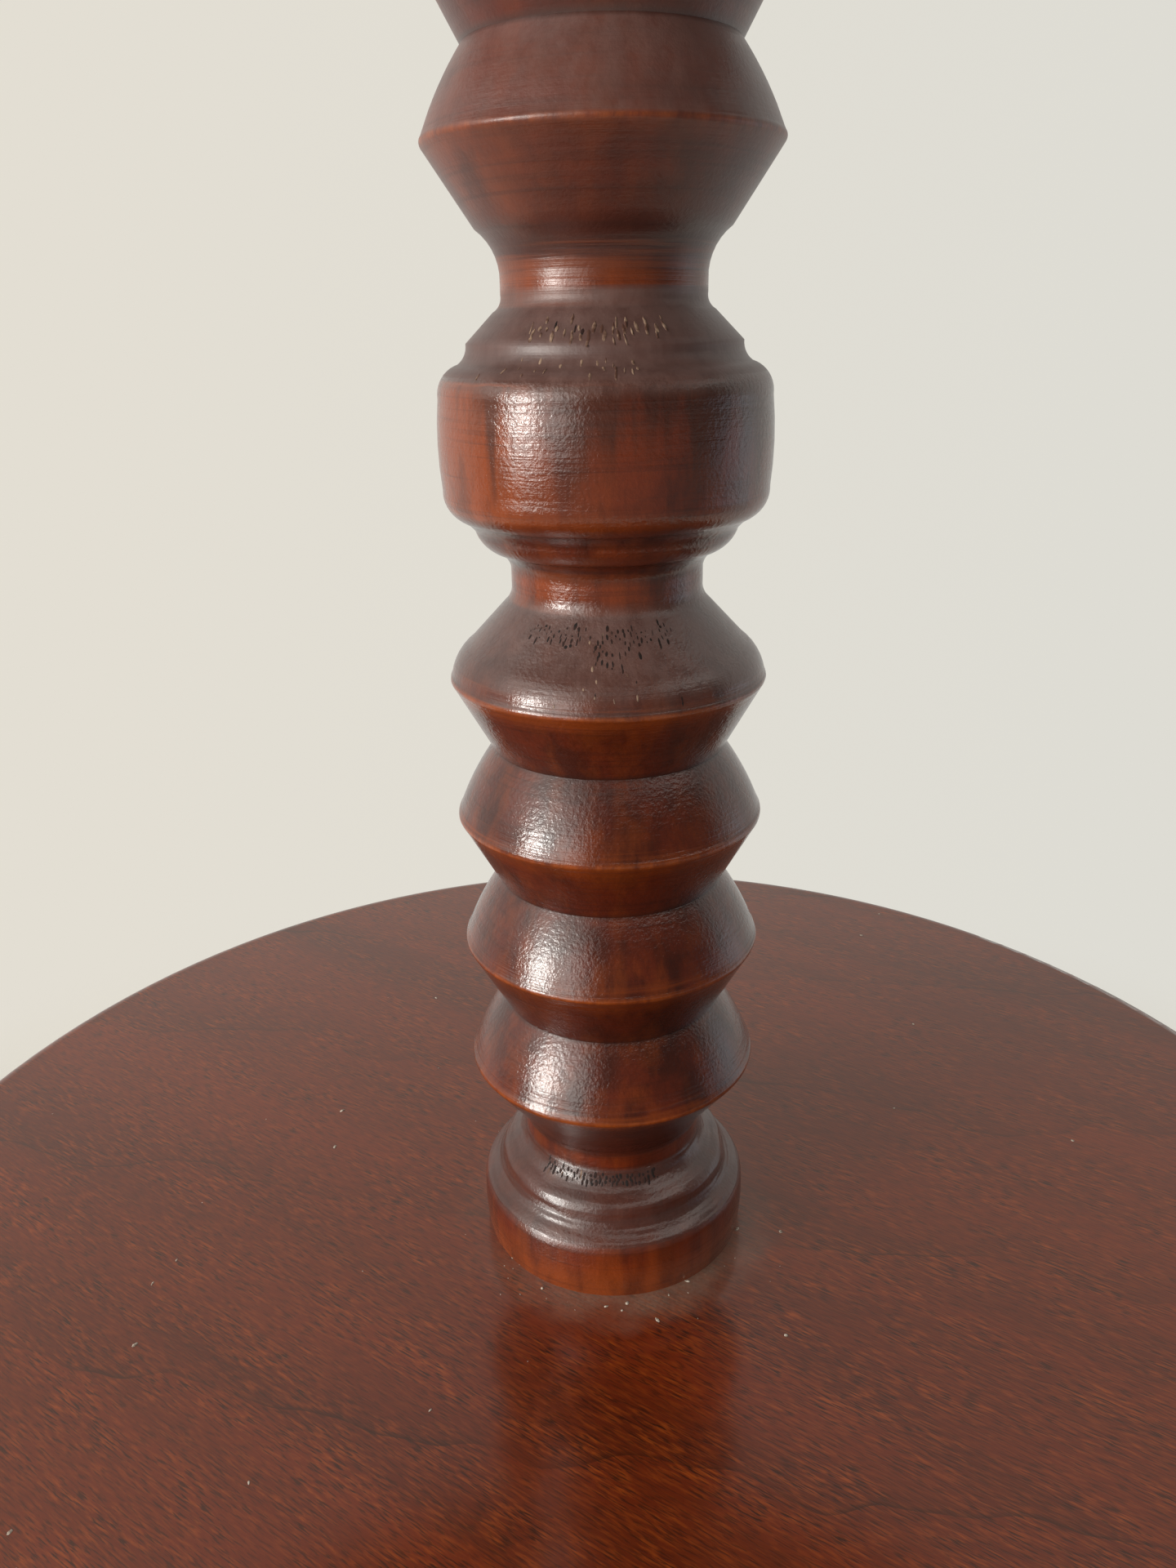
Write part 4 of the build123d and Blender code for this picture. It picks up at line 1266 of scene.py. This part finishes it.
@dataclass(frozen=True)
class ScrewGroup:
    """One CAD node of countersunk screws, remade with slotted heads. Lengths are millimetres."""

    node: str
    body: str
    slot: str
    way: Size
    head: float
    shank: float
    rise: float
    length: float
    slot_width: float
    slot_depth: float
    apart: float = 8.0
    turns: tuple[float, ...] = (17.0, 71.0, 128.0, 44.0, 98.0, 5.0)

    def seats(self) -> Array:
        """Finds the middle of each head from the CAD node's vertices."""
        points = node_points(self.node)
        depth = points @ np.array(self.way)
        groups: list[list[Array]] = []
        for point in points[depth > depth.max() - 0.01 * MM]:
            near = [g for g in groups if np.linalg.norm(np.mean(g, axis=0) - point) < self.apart * MM]
            if near:
                near[0].append(point)
            else:
                groups.append([point])
        return np.array([(np.min(g, axis=0) + np.max(g, axis=0)) / 2 for g in groups])

    def build(self, tree: Tree, finish: Material) -> None:
        """Sets a slotted screw in each seat.

        Args:
            tree: The tree that makes the screws.
            finish: Their material.
        """
        seats = self.seats()
        base = bpy.data.meshes.new(self.node + "_seats")
        base.from_pydata(seats.tolist(), [], [])
        way = Vector(self.way)
        across = way.orthogonal().normalized()
        turns = [math.radians(self.turns[index % len(self.turns)]) for index in range(len(seats))]
        set_attribute(base, "way", np.tile(np.array(self.way), (len(seats), 1)))
        set_attribute(base, "lay", np.array([Matrix.Rotation(turn, 3, way) @ across for turn in turns]))
        lengths = {
            "Head": self.head,
            "Shank": self.shank,
            "Rise": self.rise,
            "Length": self.length - self.rise,
            "Slot": self.slot_width,
            "Depth": self.slot_depth,
        }
        values = {title: length * MM for title, length in lengths.items()} | {"Material": finish}
        new_piece("slotted_" + self.node, grow(tree, base, values), self.body, self.slot, self.node)


SCREWS = (
    ScrewGroup("batten_screws", "top", "brass", (0, 0, -1), 4.5, 2.2, 2.6, 38.0, 1.2, 1.2),
    ScrewGroup("bolt_plate_screws", "top", "brass", (0, 0, -1), 2.7, 1.4, 1.5, 12.0, 0.8, 0.7),
    ScrewGroup("keeper_screws", "base", "brass", (0, -1, 0), 2.7, 1.4, 1.5, 12.0, 0.8, 0.7),
    ScrewGroup("spider_screws", "base", "black_iron", (0, 0, -1), 4.0, 2.0, 2.0, 22.0, 1.1, 1.0),
)


@dataclass(frozen=True)
class Lamp:
    """A soft area lamp, placed in degrees to the left of the front and above the aim."""

    name: str
    turn: float
    rise: float
    distance: float
    size: Span
    radiance: float
    colour: str = "#fffcf6"
    spares_floor: bool = False

    def hang(self, aim: Vector, floor: bpy.types.Object) -> None:
        """Adds the lamp, looking at a point.

        Args:
            aim: The point that it looks at.
            floor: The floor, which a bright lamp doesn't light, so that no patch of light shows there.
        """
        light = bpy.data.lights.new(self.name, "AREA")
        light.shape = "RECTANGLE"
        light.size, light.size_y = self.size
        light.energy = self.radiance * math.pi * self.size[0] * self.size[1]
        light.color = linear(self.colour)[:3]
        a, e = math.radians(self.turn), math.radians(self.rise)
        away = Vector((-math.sin(a) * math.cos(e), -math.cos(a) * math.cos(e), math.sin(e)))
        holder = link_object(self.name, light)
        holder.location = aim + away * self.distance
        holder.rotation_euler = (-away).to_track_quat("-Z", "Y").to_euler()
        holder.visible_camera = False
        if self.spares_floor:
            lit = bpy.data.collections.new(self.name + "_lit")
            lit.objects.link(floor)
            lit.collection_objects[0].light_linking.link_state = "EXCLUDE"
            holder.light_linking.receiver_collection = lit


@dataclass(frozen=True)
class Studio:
    """Pale floor that fades into a pale room, a window on the left, and the camera."""

    floor_clear: float = 0.42
    floor_radius: float = 0.72
    floor_fade: float = 0.98
    floor_steps: int = 96
    floor_colour: str = "#ece8de"
    room_colour: str = "#f4f1ea"
    backdrop_left: str = "#e3ded3"
    backdrop_right: str = "#dedcd4"
    wall_level: float = 0.72
    wall_sides: Span = (1.03, 0.85)
    ceiling_level: float = 1.5
    glow_level: float = 1.75
    low_level: float = 0.22
    dim_level: float = 0.06
    glow_turn: float = 20.0
    focal_pixels: float = 1442.0
    sensor: float = 36.0
    pitch: float = 21.52
    roll: float = -1.01
    yaw: float = -1.11
    camera_back: float = 221.2
    camera_above_shelf: float = 192.5
    aim_above_shelf: float = 120.0
    lamps: tuple[Lamp, ...] = (
        Lamp("window_pane", 57.0, 11.5, 1.6, (0.4, 0.3), 30.0, spares_floor=True),
        Lamp("window_head", 56.0, 25.0, 1.6, (0.6, 0.3), 3.5),
        Lamp("window_sill", 56.0, -2.0, 1.6, (0.6, 0.36), 6.5, spares_floor=True),
        Lamp("curtain", 35.0, 11.0, 1.6, (0.42, 0.85), 2.6),
        Lamp("curtain_fold", 22.0, 11.0, 1.6, (0.3, 0.85), 1.0),
        Lamp("far_window", -96.0, -5.0, 1.6, (1.2, 0.5), 0.4, "#cfdcf4"),
    )

    def build_floor(self) -> bpy.types.Object:
        """Makes a round floor whose rim fades out into the backdrop, and returns it."""
        mesh = bpy.data.meshes.new("studio_floor")
        rim = np.linspace(0, 2 * math.pi, self.floor_steps, endpoint=False)
        points = self.floor_radius * np.stack((np.cos(rim), np.sin(rim), np.zeros_like(rim)), axis=1)
        mesh.from_pydata(points.tolist(), [], [list(range(self.floor_steps))])
        material, tree, place = start_material("matt_floor_paint")
        reach = add(tree, "ShaderNodeVectorMath", {0: place}, out="Value", operation="LENGTH")
        fade = remap(tree, reach, self.floor_clear, self.floor_radius * self.floor_fade, smooth=True)
        inputs = {"Base Color": linear(self.floor_colour), "Roughness": 0.9}
        paint = add(tree, "ShaderNodeBsdfPrincipled", inputs)
        clear = add(tree, "ShaderNodeBsdfTransparent")
        surface = add(tree, "ShaderNodeMixShader", {0: fade, 1: paint, 2: clear})
        add(tree, "ShaderNodeOutputMaterial", {"Surface": surface})
        mesh.materials.append(material)
        floor = link_object("studio_floor", mesh)
        return floor

    def build_world(self) -> None:
        """Makes a room with a pale wall and ceiling and a dim front, and a backdrop for the camera."""
        world = bpy.data.worlds.new("soft_room")
        bpy.context.scene.world = world
        world.use_nodes = True
        tree = world.node_tree
        tree.nodes.clear()
        way = add(tree, "ShaderNodeTexCoord", out="Generated")
        side = add(tree, "ShaderNodeSeparateXYZ", {"Vector": way}, out="X")
        turn = math.radians(self.glow_turn)
        # Direction, where along it the light begins and is full, and how bright it is there
        tests = {
            "wall": ((0.0, 1.0, 0.0), -0.2, 0.25, self.wall_level),
            "ceiling": ((0.0, 0.325, 1.0), 0.4, 0.68, self.ceiling_level),
            "low": ((0.0, 0.0, -1.0), -0.1, 0.04, self.low_level),
            "beside": ((-math.cos(turn), math.sin(turn), 0.0), -0.15, 0.3, 1.0),
            "before": ((0.0, -1.0, 0.0), -0.4, 0.1, 1.0),
            "above": ((0.0, 0.0, 1.0), -0.1, 0.5, self.glow_level),
        }
        level = {
            title: remap(tree, project(tree, way, aim), low, high, 0.0, most, smooth=True)
            for title, (aim, low, high, most) in tests.items()
        }
        glow = calc(tree, "MULTIPLY", level["beside"], level["above"])
        over = calc(tree, "MULTIPLY", calc(tree, "MAXIMUM", glow, level["ceiling"]), level["before"])
        wall = calc(tree, "MULTIPLY", level["wall"], remap(tree, side, -0.3, 0.4, *self.wall_sides))
        most = calc(tree, "MAXIMUM", over, self.dim_level)
        for other in (wall, level["low"]):
            most = calc(tree, "MAXIMUM", most, other)
        room = add(tree, "ShaderNodeBackground", {"Color": linear(self.room_colour), "Strength": most})
        pale = tint(tree, remap(tree, side, -0.4, 0.4), self.backdrop_left, self.backdrop_right)
        backdrop = add(tree, "ShaderNodeBackground", {"Color": pale, "Strength": 1.0})
        seen = add(tree, "ShaderNodeLightPath", out="Is Camera Ray")
        surface = add(tree, "ShaderNodeMixShader", {0: seen, 1: room, 2: backdrop})
        add(tree, "ShaderNodeOutputWorld", {"Surface": surface})

    def build_camera(self, shelf_top: float) -> None:
        """Places the camera where the photograph was taken from.

        Args:
            shelf_top: Height of the shelf's upper face in metres.
        """
        p, r, w = (math.radians(x) for x in (self.pitch, self.roll, self.yaw))
        ahead = Vector((math.sin(w) * math.cos(p), math.cos(w) * math.cos(p), -math.sin(p)))
        right = Vector((math.cos(w), -math.sin(w), 0.0))
        up = Vector((math.sin(w) * math.sin(p), math.cos(w) * math.sin(p), math.cos(p)))
        right, up = right * math.cos(r) + up * math.sin(r), up * math.cos(r) - right * math.sin(r)
        lens = bpy.data.cameras.new("photo_camera")
        lens.sensor_width = self.sensor
        lens.lens = self.focal_pixels / PHOTO_HEIGHT * self.sensor
        lens.clip_start = 0.01
        camera = link_object("photo_camera", lens)
        turn = Matrix((right, up, -ahead)).transposed().to_4x4()
        place = Vector((0.0, -self.camera_back * MM, shelf_top + self.camera_above_shelf * MM))
        camera.matrix_world = Matrix.Translation(place) @ turn
        bpy.context.scene.camera = camera

    def build(self) -> None:
        """Builds the floor, the room, the lamps and the camera."""
        shelf_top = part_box("shelf")[1].z
        floor = self.build_floor()
        self.build_world()
        for lamp in self.lamps:
            lamp.hang(Vector((0.0, 0.0, shelf_top + self.aim_above_shelf * MM)), floor)
        self.build_camera(shelf_top)


def dress(finish: Material, *names: str) -> None:
    """Gives CAD nodes a finish."""
    for name in names:
        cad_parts[name].data.materials[0] = finish
        log.info("%s: %s", name, finish.name)


def main() -> None:
    """Dresses the table and builds the studio round it."""
    logging.basicConfig(level=logging.INFO, format="%(message)s")
    bpy.context.scene.view_settings.view_transform = "Standard"
    turned = StainedBeech().build()
    brass = Metal("aged_cast_brass", "#b8924c", "#6d5228", (0.26, 0.5)).build()
    iron = Metal("blackened_iron", "#3a3733", "#1d1a18", (0.42, 0.7), mottle=4.0).build()
    steel = Metal("turned_steel", "#a9a7a2", "#7d7a74", (0.2, 0.38)).build()
    thin_stain = ("#7a4527", "#4e2613", "#a5682f")
    bare_oak = ("#a8794a", "#7d5530", "#c49a63")
    planed = StainedBeech("planed_beech_thin_stain", GrainAxis.ACROSS, 0.0, *thin_stain, coat=0.1).build()
    wedge = StainedBeech("bare_oak_wedge", GrainAxis.UP, 0.0, *bare_oak, coat=0.0).build()
    felt = WoolFelt().build()
    sliver = PlainGrain("torn_beech_fibre", "#a08570", "#5c3d31", 1.6, 0.6).build()
    # Dark pits: partly stain in the torn grain, partly painted shade of the holes
    pit = PlainGrain("stain_and_shade_in_torn_pits", "#2e150d", "#160a06", 0.8, 0.8).build()
    dust = PlainGrain("settled_dust", "#cfc3b4", "#8f8172", 0.5, 0.9).build()
    shelf = MahoganyBoard(dusty=True).build()
    top = MahoganyBoard("mahogany_top_lacquered", 90.0, figure_offset=30.0, figure_slope=0.25).build()
    dress(turned, "lower_column")
    dress(shelf, "shelf")
    dress(top, "tilt_top")
    for name, angle in (("leg_rear", 90.0), ("leg_left", 210.0), ("leg_right", 330.0)):
        dress(StainedBeech("sawn_beech_red_stain_" + name, GrainAxis.RADIAL, angle).build(), name)
    dress(planed, "pivot_block", "batten_left", "batten_right")
    dress(wedge, "tenon_wedge")
    dress(brass, "bolt_plate", "slide_bolt", "bolt_knob", "keeper_plate")
    dress(steel, "pivot_pin_left", "pivot_pin_right")
    dress(iron, "spider_plate")
    dress(felt, "foot_pad_rear", "foot_pad_left", "foot_pad_right")
    TurnedColumn().build(turned, sliver, pit)
    SettledDust().build(dust)
    tree = screw_tree()
    for group in SCREWS:
        group.build(tree, iron if group.slot == "black_iron" else brass)
    Studio().build()


if __name__ == "__main__":
    main()
